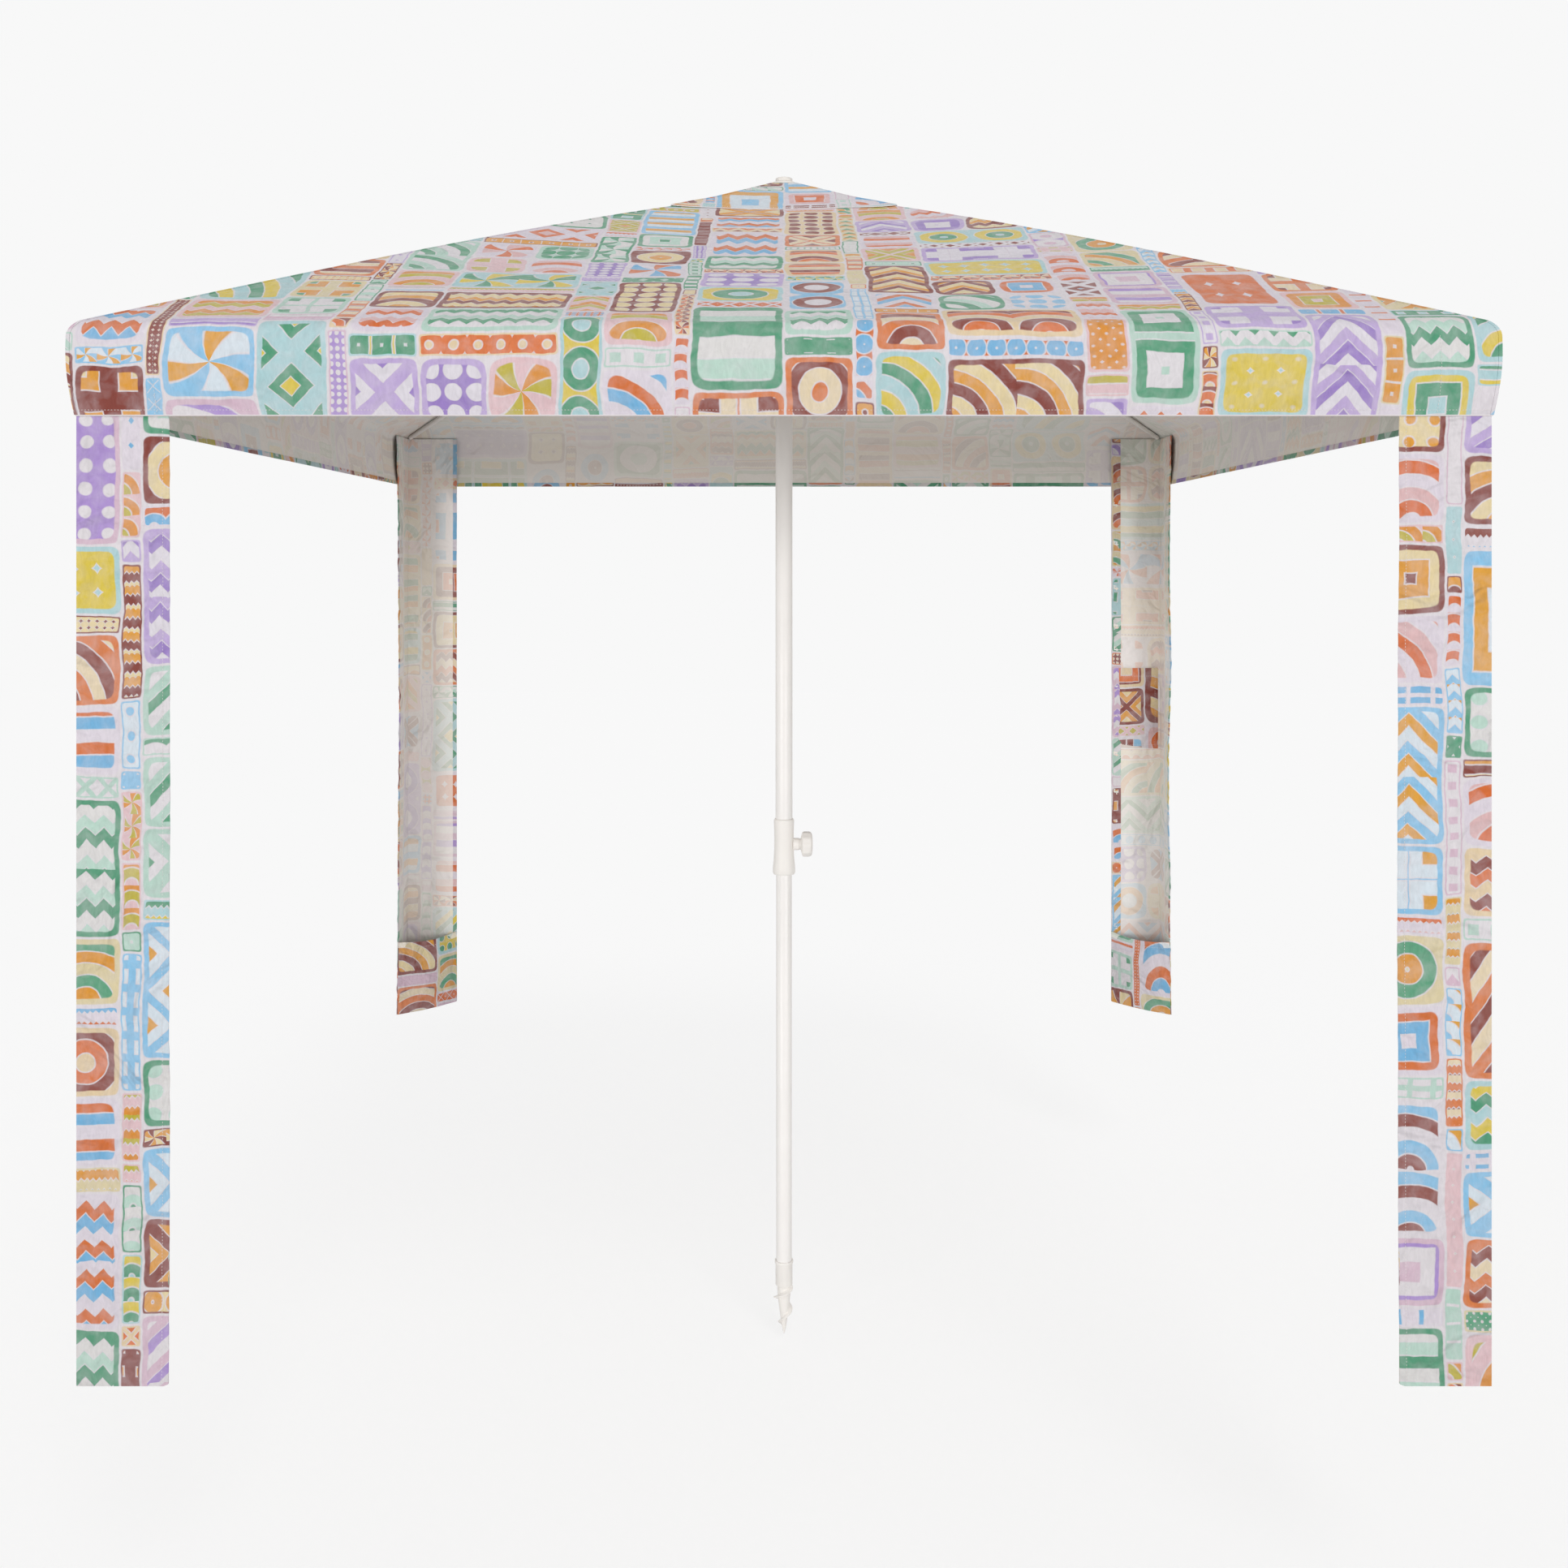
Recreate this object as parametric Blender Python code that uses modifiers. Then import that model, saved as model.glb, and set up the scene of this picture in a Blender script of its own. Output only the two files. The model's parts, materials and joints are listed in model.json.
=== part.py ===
# Beach tent on one centre pole. A square pyramid canopy with a valance and a vent cap
# is spread by four ribs that fold like an umbrella's. A cloth leg with a sand pocket
# hangs at each corner, and the pole ends in a plastic ground screw.
# Metres, +Z up. The origin is on the pole's axis at the level of the sand, front is -Y.

import math

import bmesh
import bpy
from mathutils import Matrix, Vector

# Fits that all pieces share
GAP = 0.0003  # between pieces that rest on or pass through each other
OVERRUN = 0.002  # how far a cut runs past the wall that it opens
CLOTH = 0.0012  # thickness of the woven cloth
CLOTH_HOLD = 0.0012  # middle of a sewn pouch's edge to the cloth that it is sewn to

# Canopy, measured on the outside of the cloth
EAVE_HALF = 1.2
EAVE_HEIGHT = 1.787
ROOF_RISE = 0.5112
ROOF_DIP = 0.006
EAVE_RADIUS = 0.03
VALANCE_DROP = 0.155
VALANCE_SLANT = 0.008
VALANCE_TURN = 0.06  # the valance cloth reaches this far up the roof
VENT_HALF = 0.17
CAP_HALF = 0.257
CAP_RISE = 0.0035  # top of the cap over the point where the roof planes would meet
CAP_FLAT = 0.032
CAP_HOLE = 0.007

# Cloth legs and their pockets
LEG_WING = 0.155
LEG_TOP_DROP = 0.005
POCKET_HEIGHT = 0.225
POCKET_BULGE = 0.022
STOW_BOTTOM = 0.803
STOW_HEIGHT = 0.255
STOW_WIDTH = 0.142
STOW_DEPTH = 0.009
STOW_SIDE = 0.014

# Ribs, their tip plugs and the brackets that the struts hang from
RIB_RADIUS = 0.007
RIB_WALL = 0.0012
RIB_TIP_INSET = 0.003
TIP_HEAD = 0.008
TIP_SPIGOT = 0.03
BLADE_THICKNESS = 0.005
BLADE_LENGTH = 0.045
ROD_START = 0.018
EYE_RADIUS = 0.0065
PIN_RADIUS = 0.0025
PIN_LENGTH = 0.049
BRACKET_REACH = 0.62
BRACKET_DROP = 0.016
BRACKET_LENGTH = 0.036
BRACKET_WIDTH = 0.0196
BRACKET_SHOULDER = 0.003
BRACKET_EAR = 0.0075
BRACKET_FILLET = 0.0015
SLOT_SIDE = 0.0003

# Crown hub, runner and their slots
PIVOT_RADIUS = 0.035
HUB_RADIUS = 0.048
HUB_BELOW = 0.0095
HUB_FLAT = 0.028
HUB_CHAMFER = 0.002
SLEEVE_RADIUS = 0.0262
SLEEVE_LENGTH = 0.042
SLOT_INNER = 0.0278
SLOT_ROOF = 0.001
TUBE_SEAT = 0.0155
RUNNER_RADIUS = 0.046
RUNNER_HALF = 0.009
RUNNER_ABOVE = 0.022
RUNNER_BELOW = 0.062
RUNNER_RIM = 0.003
BUTTON_DROP = 0.036
BUTTON_BOSS_RADIUS = 0.0115
BUTTON_BOSS_REACH = 0.047
BUTTON_RADIUS = 0.0075
BUTTON_LENGTH = 0.0105
BUTTON_PROUD = 0.006
BUTTON_CROWN = 0.0015
BUTTON_WELL = 0.0295
SPRING_WIRE = 0.0005
SPRING_RADIUS = 0.0045
SPRING_TURN_COUNT = 6
SPRING_POINT_COUNT = 8

# Pole, from the finial down
FINIAL_RADIUS = 0.0205
FINIAL_HEIGHT = 0.009
FINIAL_EDGE = 0.0015
STUD_RADIUS = 0.005
STUD_DEPTH = 0.007
WASHER_RADIUS = 0.03
WASHER_HEIGHT = 0.0085
WASHER_EDGE = 0.002
UPPER_RADIUS = 0.0205
UPPER_WALL = 0.0012
LOWER_WALL = 0.0015
LOWER_TOP = 1.1
LOWER_BOTTOM = -0.319
PLUG_HEAD = 0.012
PLUG_DEPTH = 0.035
PLUG_BORE = 0.01

# Clamp that holds the height of the pole
CLAMP_HEIGHT = 0.706
COLLAR_ABOVE = 0.062
COLLAR_BELOW = 0.072
TUBE_BELOW = 0.048  # how far the upper tube reaches below the clamp
COLLAR_TOP_RADIUS = 0.0245
COLLAR_WAIST_RADIUS = 0.0232
COLLAR_FLARE_RADIUS = 0.0272
COLLAR_FLARE_RISE = 0.014
COLLAR_LIP = 0.004
BOSS_RADIUS = 0.0148
BOSS_REACH = 0.0366
BOSS_EDGE = 0.0015
INSERT_RADIUS = 0.0072
THREAD_RADIUS = 0.004
KNOB_NECK = 0.0135
KNOB_HEAD = 0.0305
KNOB_LENGTH = 0.0325
KNOB_NECK_LENGTH = 0.007
KNOB_FLUTE = 0.0022
KNOB_FLUTE_COUNT = 10
KNOB_STUD_DEPTH = 0.02

# Ground screw
SCREW_SLEEVE_RADIUS = 0.0205
SCREW_TOP = -0.302
SCREW_SHOULDER = -0.364
SCREW_TIP = -0.481
SCREW_CORE = 0.0165
SCREW_FLIGHT_TOP = -0.362
SCREW_PITCH = 0.06
SCREW_TURNS_SHARE = 1.72
SCREW_FLIGHT = 0.0125
SCREW_ROOT = 0.006
SCREW_EDGE = 0.0018
SCREW_LIP = 0.0054
SCREW_LIP_SLOPE = 0.0036

# Shapes that are shares of the sizes above
POCKET_FLOOR_SHARE = 0.06  # how much of the pouch's reach is left open in its floor
KNOB_EDGE_SHARES = (  # of the knob's radius, and of its head's length
    (0.88, 0.0),
    (0.965, 0.05),
    (1.0, 0.18),
    (1.0, 0.62),
    (0.95, 0.82),
    (0.8, 0.95),
    (0.45, 1.0),
)
SCREW_SHARES = (  # of the core's radius, and of the length below the shoulder
    (1.0, 0.0),
    (0.97, 0.14),
    (0.86, 0.3),
    (0.7, 0.48),
    (0.52, 0.66),
    (0.33, 0.83),
    (0.14, 0.96),
    (0.0, 1.0),
)
FLIGHT_TAPER_SHARE = 0.42  # of its reach that the flight loses towards the point
FLIGHT_END_SHARE = 0.25  # of its reach that the flight starts and ends with
FLIGHT_RUN_SHARE = 0.125  # of its length in which the flight reaches its full width
FLIGHT_SEAT_SHARE = 0.55  # of the core's radius where the flight's root is sunk
FLIGHT_NECK_SHARE = 0.8  # of the root's thickness where the flight leaves the core
ROOT_TAPER_SHARE = 0.3  # of its thickness that the root loses towards the point

# Facets round a turned piece, and steps along the other outlines
COARSE_STEPS = 16
FINE_STEPS = 32
ROOF_ROW_COUNT = 5
ROOF_COLUMN_COUNT = 4
EAVE_STEP_COUNT = 5
LOW_COLUMN_COUNT = 4
POCKET_COLUMN_COUNT = 8
EYE_STEP_COUNT = 8
TIP_STEP_COUNT = 4
FLARE_STEP_COUNT = 5
FLARE_POWER = 4
FLUTE_STEP_COUNT = 4
FLIGHT_STEP_COUNT = 18
MERGE = 0.00001
WELD = 0.000001

ROOT2 = math.sqrt(2.0)
QUARTER = math.pi / 2
ROOF_SLOPE = ROOF_RISE / EAVE_HALF
ROOF_ANGLE = math.atan(ROOF_SLOPE)
HIP_ANGLE = math.atan(ROOF_SLOPE / ROOT2)
RIB_DROP = (RIB_RADIUS + GAP + CLOTH) / math.cos(ROOF_ANGLE)


def roof_height(half):
    """Height of the roof plane where it is half across from the pole's axis."""
    return EAVE_HEIGHT + ROOF_SLOPE * (EAVE_HALF - half)


# Linkage: crown pivot, bracket pivot and runner pivot make two equal arms
CROWN_Z = roof_height(PIVOT_RADIUS / ROOT2) - RIB_DROP
ARM = math.hypot(BRACKET_REACH, BRACKET_DROP)
ARM_ANGLE = HIP_ANGLE + math.atan2(BRACKET_DROP, BRACKET_REACH)
RUNNER_Z = CROWN_Z - 2 * ARM * math.sin(ARM_ANGLE)
CAP_HEIGHT = EAVE_HEIGHT + ROOF_RISE + CAP_RISE
COLLAR_TOP = CLAMP_HEIGHT + COLLAR_ABOVE
COLLAR_BOTTOM = CLAMP_HEIGHT - COLLAR_BELOW
UPPER_BOTTOM = CLAMP_HEIGHT - TUBE_BELOW
LEG_HALF = EAVE_HALF - VALANCE_SLANT - CLOTH - GAP
TIP_RADIUS = (LEG_HALF - CLOTH - RIB_TIP_INSET - RIB_RADIUS) * ROOT2
RIB_LENGTH = (TIP_RADIUS - PIVOT_RADIUS) / math.cos(HIP_ANGLE)
TIP_Z = CROWN_Z - RIB_LENGTH * math.sin(HIP_ANGLE)
SLOT_WIDTH = BLADE_THICKNESS + 2 * SLOT_SIDE
LOWER_RADIUS = UPPER_RADIUS - UPPER_WALL - GAP
SLIDE_RADIUS = UPPER_RADIUS + GAP
CAP_EDGE = roof_height(CAP_HALF) + CLOTH + GAP
CAP_SLOPE = (CAP_HEIGHT - CAP_EDGE) / (CAP_HALF - CAP_FLAT)

# Each corner by quarter turns from the right rear one: its name, and the names of its
# halves of the side that it meets first and of the side that it meets second
CORNERS = (
    ("rear_right", "right_rear", "rear_right"),
    ("rear_left", "rear_left", "left_rear"),
    ("front_left", "left_front", "front_left"),
    ("front_right", "front_right", "right_front"),
)


def start_collections():
    """An empty scene with one collection for the parts and one for the cutters."""
    for old in list(bpy.data.objects):
        bpy.data.objects.remove(old, do_unlink=True)
    made = []
    for name in ("beach_tent", "cutters"):
        group = bpy.data.collections.new(name)
        bpy.context.scene.collection.children.link(group)
        made.append(group)
    return made


PARTS, CUTTERS = start_collections()


def linear(value):
    """One sRGB channel from 0 to 255 as a linear value."""
    share = value / 255
    return share / 12.92 if share <= 0.04045 else ((share + 0.055) / 1.055) ** 2.4


def material(name, rgb, roughness, metallic=0.0):
    """A plain finish for one kind of piece."""
    made = bpy.data.materials.new(name)
    made.use_nodes = True
    shader = made.node_tree.nodes["Principled BSDF"]
    colour = [linear(value) for value in rgb]
    shader.inputs["Base Color"].default_value = (*colour, 1.0)
    shader.inputs["Roughness"].default_value = roughness
    shader.inputs["Metallic"].default_value = metallic
    made.diffuse_color = (*colour, 1.0)
    return made


COATED = material("coated_aluminium", (234, 230, 226), 0.35, 0.3)
MOULDED = material("moulded_white_plastic", (232, 228, 222), 0.45)
BRASS = material("brass", (200, 168, 96), 0.3, 1.0)
STEEL = material("zinc_plated_steel", (176, 178, 182), 0.3, 1.0)
CANVAS = material("printed_canvas", (214, 186, 166), 0.9)
LINING = material("canvas_pocket", (208, 192, 178), 0.9)


def add_object(name, data, finish, home=PARTS):
    """An object with its finish, in the collection that it belongs to."""
    made = bpy.data.objects.new(name, data)
    home.objects.link(made)
    if finish is not None and not data.materials:
        data.materials.append(finish)
    return made


def shade(mesh, sharp_degrees=35.0):
    """Round faces smooth, edges sharper than the angle kept."""
    mesh.shade_smooth()
    mesh.set_sharp_from_angle(angle=math.radians(sharp_degrees))


def turned(name, outline, finish, steps=FINE_STEPS, closed=False):
    """A piece turned round Z, from (radius, height) points down its outer side."""
    mesh = bpy.data.meshes.new(name)
    points = [(radius, 0.0, height) for radius, height in outline]
    edges = [(i, i + 1) for i in range(len(points) - 1)]
    if closed:
        edges.append((len(points) - 1, 0))
    mesh.from_pydata(points, edges, [])
    made = add_object(name, mesh, finish)
    screw = made.modifiers.new("turn", "SCREW")
    screw.axis = "Z"
    screw.steps = steps
    screw.render_steps = steps
    screw.use_merge_vertices = True
    screw.merge_threshold = MERGE
    screw.use_smooth_shade = True
    return made


def settle(made):
    """Turn an object's modifiers into plain faces, so that copies can share the mesh."""
    graph = bpy.context.evaluated_depsgraph_get()
    mesh = bpy.data.meshes.new_from_object(made.evaluated_get(graph))
    made.modifiers.clear()
    old = made.data
    made.data = mesh
    bpy.data.meshes.remove(old)
    mesh.name = made.name
    return made


def turned_across(name, outline, finish, turn, closed=False):
    """A small turned piece that lies across: its height runs along the turned Z axis."""
    made = settle(turned(name, outline, finish, COARSE_STEPS, closed))
    made.data.transform(turn)
    return made


TO_X = Matrix.Rotation(QUARTER, 4, "Y")
TO_FRONT = Matrix.Rotation(QUARTER, 4, "X")


def as_cutter(made):
    """Mark an object as a cutter or a shape that is joined into another."""
    made.hide_render = True
    made.display_type = "WIRE"
    return made


def combine(made, other, operation):
    """Cut one closed body with another, or join the two."""
    step = made.modifiers.new(operation.lower(), "BOOLEAN")
    step.operation = operation
    step.solver = "EXACT"
    step.use_self = True
    step.object = as_cutter(other)


def bars(name, shapes):
    """Boxes and round bars in one cutter. Each is (kind, size, matrix)."""
    mesh = bpy.data.meshes.new(name)
    shape = bmesh.new()
    for kind, size, place in shapes:
        if kind == "box":
            scaled = place @ Matrix.Diagonal((*size, 1.0))
            bmesh.ops.create_cube(shape, size=1.0, matrix=scaled)
        else:
            radius, length = size
            bmesh.ops.create_cone(
                shape,
                cap_ends=True,
                segments=COARSE_STEPS,
                radius1=radius,
                radius2=radius,
                depth=length,
                matrix=place,
            )
    shape.to_mesh(mesh)
    shape.free()
    return as_cutter(add_object(name, mesh, None, CUTTERS))


def cloth(name, rows, finish, centred=False):
    """A sheet of cloth through rows of points, with the outer side facing out."""
    mesh = bpy.data.meshes.new(name)
    shape = bmesh.new()
    grid = [[shape.verts.new(point) for point in row] for row in rows]
    for upper, lower in zip(grid, grid[1:]):
        for i in range(len(upper) - 1):
            shape.faces.new((upper[i], lower[i], lower[i + 1], upper[i + 1]))
    shape.to_mesh(mesh)
    shape.free()
    mesh.shade_smooth()
    made = add_object(name, mesh, finish)
    wall = made.modifiers.new("cloth", "SOLIDIFY")
    wall.thickness = CLOTH
    wall.offset = 0.0 if centred else -1.0
    wall.use_even_offset = True
    return made


def to_arm(x, y, z):
    """A point of the right rear quarter in a frame whose X runs to the corner."""
    return Vector(((x + y) / ROOT2, (y - x) / ROOT2, z))


def corner_turn(quarter):
    """The turn of the corner frame that X of the arm frame points along."""
    return QUARTER / 2 + quarter * QUARTER


def corner_point(quarter, radius, z):
    """A place on the diagonal of a corner."""
    angle = corner_turn(quarter)
    return Vector((radius * math.cos(angle), radius * math.sin(angle), z))


def hang_on(made, parent):
    """Parent a piece to an empty without moving it."""
    made.parent = parent
    made.matrix_parent_inverse = parent.matrix_world.inverted()


def empty(name, place, turn=0.0, parent=None):
    """An empty on a joint's axis."""
    made = bpy.data.objects.new(name, None)
    PARTS.objects.link(made)
    made.empty_display_size = HUB_RADIUS
    made.location = place
    made.rotation_euler = (0.0, 0.0, turn)
    bpy.context.view_layer.update()
    if parent is not None:
        hang_on(made, parent)
    return made


def at_corners(first, origin_radius, origin_z, names, axes, tilt=0.0):
    """Place the piece made for the right rear corner, and its copies at the others."""
    for quarter, (name, (corner, *halves)) in enumerate(zip(names, CORNERS)):
        piece = first if quarter == 0 else add_object(name, first.data, None)
        piece.name = name
        piece.location = corner_point(quarter, origin_radius, origin_z)
        piece.rotation_euler = (0.0, tilt, corner_turn(quarter))
        hang_on(piece, axes[corner])


def corner_axes(label, radius, z, parents):
    """An empty on the cross axis of one hinge at every corner."""
    return {
        corner: empty(
            f"{label}_{corner}",
            corner_point(quarter, radius, z),
            corner_turn(quarter),
            parents[corner],
        )
        for quarter, (corner, *halves) in enumerate(CORNERS)
    }


# Canopy cloth

def shifted(rows, radius, z):
    """Rows of arm frame points counted from a pivot on the diagonal."""
    pivot = Vector((radius, 0.0, z))
    return [[point - pivot for point in row] for row in rows]


def half_rows(profile, columns, first_side, hip_inset):
    """Rows over half of one side, from its middle to the hip, for (half, height) points."""
    rows = []
    for half, height, dip in profile:
        row = []
        for i in range(columns + 1):
            u = i / columns
            across = GAP / 2 + u * (half - hip_inset - GAP / 2)
            z = height - dip * (1.0 - u * u)
            row.append(to_arm(half, across, z) if first_side else to_arm(across, half, z))
        rows.append(row if first_side else row[::-1])
    return rows


def corner_rows(profile, columns):
    """Rows from the middle of one side round the corner to the middle of the next."""
    rows = []
    for half, height in profile:
        row = []
        for i in range(columns + 1):
            across = GAP / 2 + i / columns * (half - GAP / 2)
            row.append((half, across))
        row += [(across, half) for half, across in row[-2::-1]]
        rows.append([to_arm(x, y, height) for x, y in row])
    return rows


def roof_panels(axes):
    """Eight half panels between the vent and the valance, one on each side of each rib."""
    hip_inset = (GAP + 2 * CLOTH * math.sin(ROOF_ANGLE) / ROOT2) / ROOT2
    outer = EAVE_HALF - VALANCE_TURN - GAP
    profile = []
    for i in range(ROOF_ROW_COUNT + 1):
        s = i / ROOF_ROW_COUNT
        half = VENT_HALF + s * (outer - VENT_HALF)
        profile.append((half, roof_height(half), ROOF_DIP * 4 * s * (1 - s)))
    for side in (0, 1):
        rows = half_rows(profile, ROOF_COLUMN_COUNT, side == 0, hip_inset)
        rows = shifted(rows, PIVOT_RADIUS, CROWN_Z)
        names = [f"roof_{corner[1 + side]}" for corner in CORNERS]
        first = settle(cloth(names[0], rows, CANVAS))
        at_corners(first, PIVOT_RADIUS, CROWN_Z, names, axes)


def eave_profile():
    """The valance from where it lies on the roof, over the eave and down to its hem."""
    turn = QUARTER - ROOF_ANGLE
    back = EAVE_RADIUS * math.tan(turn / 2)
    points = [(EAVE_HALF - VALANCE_TURN, roof_height(EAVE_HALF - VALANCE_TURN))]
    centre = EAVE_HALF - EAVE_RADIUS
    low = EAVE_HEIGHT - back
    for i in range(EAVE_STEP_COUNT + 1):
        angle = turn * (1 - i / EAVE_STEP_COUNT)
        half = centre + EAVE_RADIUS * math.cos(angle)
        points.append((half, low + EAVE_RADIUS * math.sin(angle)))
    points.append((EAVE_HALF - VALANCE_SLANT, EAVE_HEIGHT - VALANCE_DROP))
    return points


def valances(axes):
    """Four corner lengths of valance, each from mid side to mid side."""
    rows = shifted(corner_rows(eave_profile(), LOW_COLUMN_COUNT), PIVOT_RADIUS, CROWN_Z)
    names = [f"valance_{corner[0]}" for corner in CORNERS]
    first = settle(cloth(names[0], rows, CANVAS))
    at_corners(first, PIVOT_RADIUS, CROWN_Z, names, axes)


def vent_caps(axes):
    """The second layer over the vent, in four quarters held under the finial's washer."""
    profile = [(CAP_HOLE, CAP_HEIGHT), (CAP_FLAT, CAP_HEIGHT), (CAP_HALF, CAP_EDGE)]
    rows = shifted(corner_rows(profile, LOW_COLUMN_COUNT), PIVOT_RADIUS, CROWN_Z)
    names = [f"vent_cap_{corner[0]}" for corner in CORNERS]
    first = settle(cloth(names[0], rows, CANVAS))
    at_corners(first, PIVOT_RADIUS, CROWN_Z, names, axes)


# Cloth legs and pockets

def legs(axes):
    """Four corner legs, each a strip folded once along the corner."""
    free = LEG_HALF - LEG_WING
    path = [(LEG_HALF, free), (LEG_HALF, LEG_HALF), (free, LEG_HALF)]
    rows = []
    for height in (EAVE_HEIGHT - LEG_TOP_DROP, 0.0):
        rows.append([to_arm(x, y, height) for x, y in path])
    names = [f"leg_{corner[0]}" for corner in CORNERS]
    first = settle(cloth(names[0], shifted(rows, TIP_RADIUS, TIP_Z), CANVAS))
    at_corners(first, TIP_RADIUS, TIP_Z, names, axes)


def sand_pockets(axes):
    """A pouch across the inside of each leg's foot, open at the top, with a floor."""
    corner = LEG_HALF - CLOTH - CLOTH_HOLD
    reach = LEG_WING - CLOTH - CLOTH_HOLD - CLOTH
    floor = CLOTH / 2
    profile = [(POCKET_HEIGHT, 1), (POCKET_HEIGHT / 2, 1), (floor, 1), (floor, POCKET_FLOOR_SHARE)]
    rows = []
    for height, share in profile:
        row = []
        for i in range(POCKET_COLUMN_COUNT + 1):
            t = i / POCKET_COLUMN_COUNT
            belly = POCKET_BULGE * math.sin(math.pi * t) / ROOT2
            x = corner - share * (reach * (1 - t) + belly)
            y = corner - share * (reach * t + belly)
            row.append(to_arm(x, y, height))
        rows.append(row)
    names = [f"sand_pocket_{entry[0]}" for entry in CORNERS]
    rows = shifted(rows, TIP_RADIUS, TIP_Z)
    first = settle(cloth(names[0], rows, LINING, centred=True))
    at_corners(first, TIP_RADIUS, TIP_Z, names, axes)


def stow_pocket(axes):
    """A flat pouch on the inner face of the right rear leg's rear wing."""
    face = LEG_HALF - CLOTH - CLOTH_HOLD
    middle = LEG_HALF - LEG_WING / 2
    half = STOW_WIDTH / 2
    path = [(-half, 0.0), (-half + STOW_SIDE, 1.0), (half - STOW_SIDE, 1.0), (half, 0.0)]
    rows = []
    top = STOW_BOTTOM + STOW_HEIGHT
    for height, full in ((top, 1.0), (STOW_BOTTOM + STOW_SIDE, 1.0), (STOW_BOTTOM, 0.0)):
        row = []
        for across, out in path:
            row.append(to_arm(middle + across, face - STOW_DEPTH * out * full, height))
        rows.append(row)
    rows = shifted(rows, TIP_RADIUS, TIP_Z)
    first = settle(cloth("stow_pocket", rows, LINING, centred=True))
    at_corners(first, TIP_RADIUS, TIP_Z, ["stow_pocket"], axes)


# Ribs, struts and their joints

def rounded_plate(name, length, finish, far_round=True, home=PARTS):
    """A flat bar along X with its near eye on the origin, and a far eye or a square end."""
    curve = bpy.data.curves.new(name, "CURVE")
    curve.dimensions = "2D"
    curve.fill_mode = "BOTH"
    curve.extrude = BLADE_THICKNESS / 2
    ring = []
    for i in range(EYE_STEP_COUNT + 1):
        angle = QUARTER + math.pi * i / EYE_STEP_COUNT
        ring.append((EYE_RADIUS * math.cos(angle), EYE_RADIUS * math.sin(angle)))
    if far_round:
        ring += [(length - x, -y) for x, y in ring]
    else:
        ring += [(length, -EYE_RADIUS), (length, EYE_RADIUS)]
    holes = [0.0, length] if far_round else [0.0]
    outlines = [ring]
    for centre in holes:
        circle = []
        for i in range(2 * EYE_STEP_COUNT):
            angle = math.pi * i / EYE_STEP_COUNT
            radius = PIN_RADIUS + GAP
            circle.append((centre + radius * math.cos(angle), radius * math.sin(angle)))
        outlines.append(circle)
    for outline in outlines:
        spline = curve.splines.new("POLY")
        spline.points.add(len(outline) - 1)
        for point, (x, y) in zip(spline.points, outline):
            point.co = (x, y, 0.0, 1.0)
        spline.use_cyclic_u = True
    flat = bpy.data.objects.new(name, curve)
    CUTTERS.objects.link(flat)
    graph = bpy.context.evaluated_depsgraph_get()
    mesh = bpy.data.meshes.new_from_object(flat.evaluated_get(graph))
    bpy.data.objects.remove(flat)
    bpy.data.curves.remove(curve)
    shape = bmesh.new()
    shape.from_mesh(mesh)
    bmesh.ops.remove_doubles(shape, verts=shape.verts, dist=WELD)
    shape.transform(Matrix.Rotation(QUARTER, 4, "X"))
    shape.to_mesh(mesh)
    shape.free()
    return add_object(name, mesh, finish, home)


def ribs(axes):
    """Four tubes with a flattened eye at the crown, open at the corner end."""
    head = RIB_LENGTH - TIP_HEAD
    bore = RIB_RADIUS - RIB_WALL
    stop = ROD_START + BLADE_LENGTH
    outline = [
        (0.0, stop),
        (bore, stop),
        (bore, head),
        (RIB_RADIUS, head),
        (RIB_RADIUS, ROD_START),
        (0.0, ROD_START),
    ]
    rod = turned_across("rib_rear_right", outline, COATED, TO_X)
    blade = rounded_plate("rib_blade", BLADE_LENGTH, None, far_round=False, home=CUTTERS)
    combine(rod, blade, "UNION")
    shade(settle(rod).data)
    names = [f"rib_{corner[0]}" for corner in CORNERS]
    at_corners(rod, PIVOT_RADIUS, CROWN_Z, names, axes, HIP_ANGLE)


def rib_tips(axes):
    """Domed plugs in the open ends of the ribs, which sit in the canopy's corners."""
    spigot = RIB_RADIUS - RIB_WALL - GAP
    outline = []
    for i in range(TIP_STEP_COUNT + 1):
        angle = QUARTER * (1 - i / TIP_STEP_COUNT)
        outline.append((RIB_RADIUS * math.cos(angle) if i else 0.0, RIB_RADIUS * math.sin(angle)))
    seat = GAP - TIP_HEAD
    end = -TIP_HEAD - TIP_SPIGOT
    outline += [(RIB_RADIUS, seat), (spigot, seat), (spigot, end), (0.0, end)]
    first = turned_across("rib_tip_rear_right", outline, MOULDED, TO_X)
    names = [f"rib_tip_{corner[0]}" for corner in CORNERS]
    at_corners(first, TIP_RADIUS, TIP_Z, names, axes, HIP_ANGLE)


def crown_pins(axes):
    """Pins across the hub's slots, one through each rib's eye."""
    names = [f"crown_pin_{corner[0]}" for corner in CORNERS]
    end = PIN_LENGTH / 2
    outline = [(0.0, end), (PIN_RADIUS, end), (PIN_RADIUS, -end), (0.0, -end)]
    first = turned_across(names[0], outline, STEEL, TO_FRONT)
    at_corners(first, PIVOT_RADIUS, CROWN_Z, names, axes)


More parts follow.
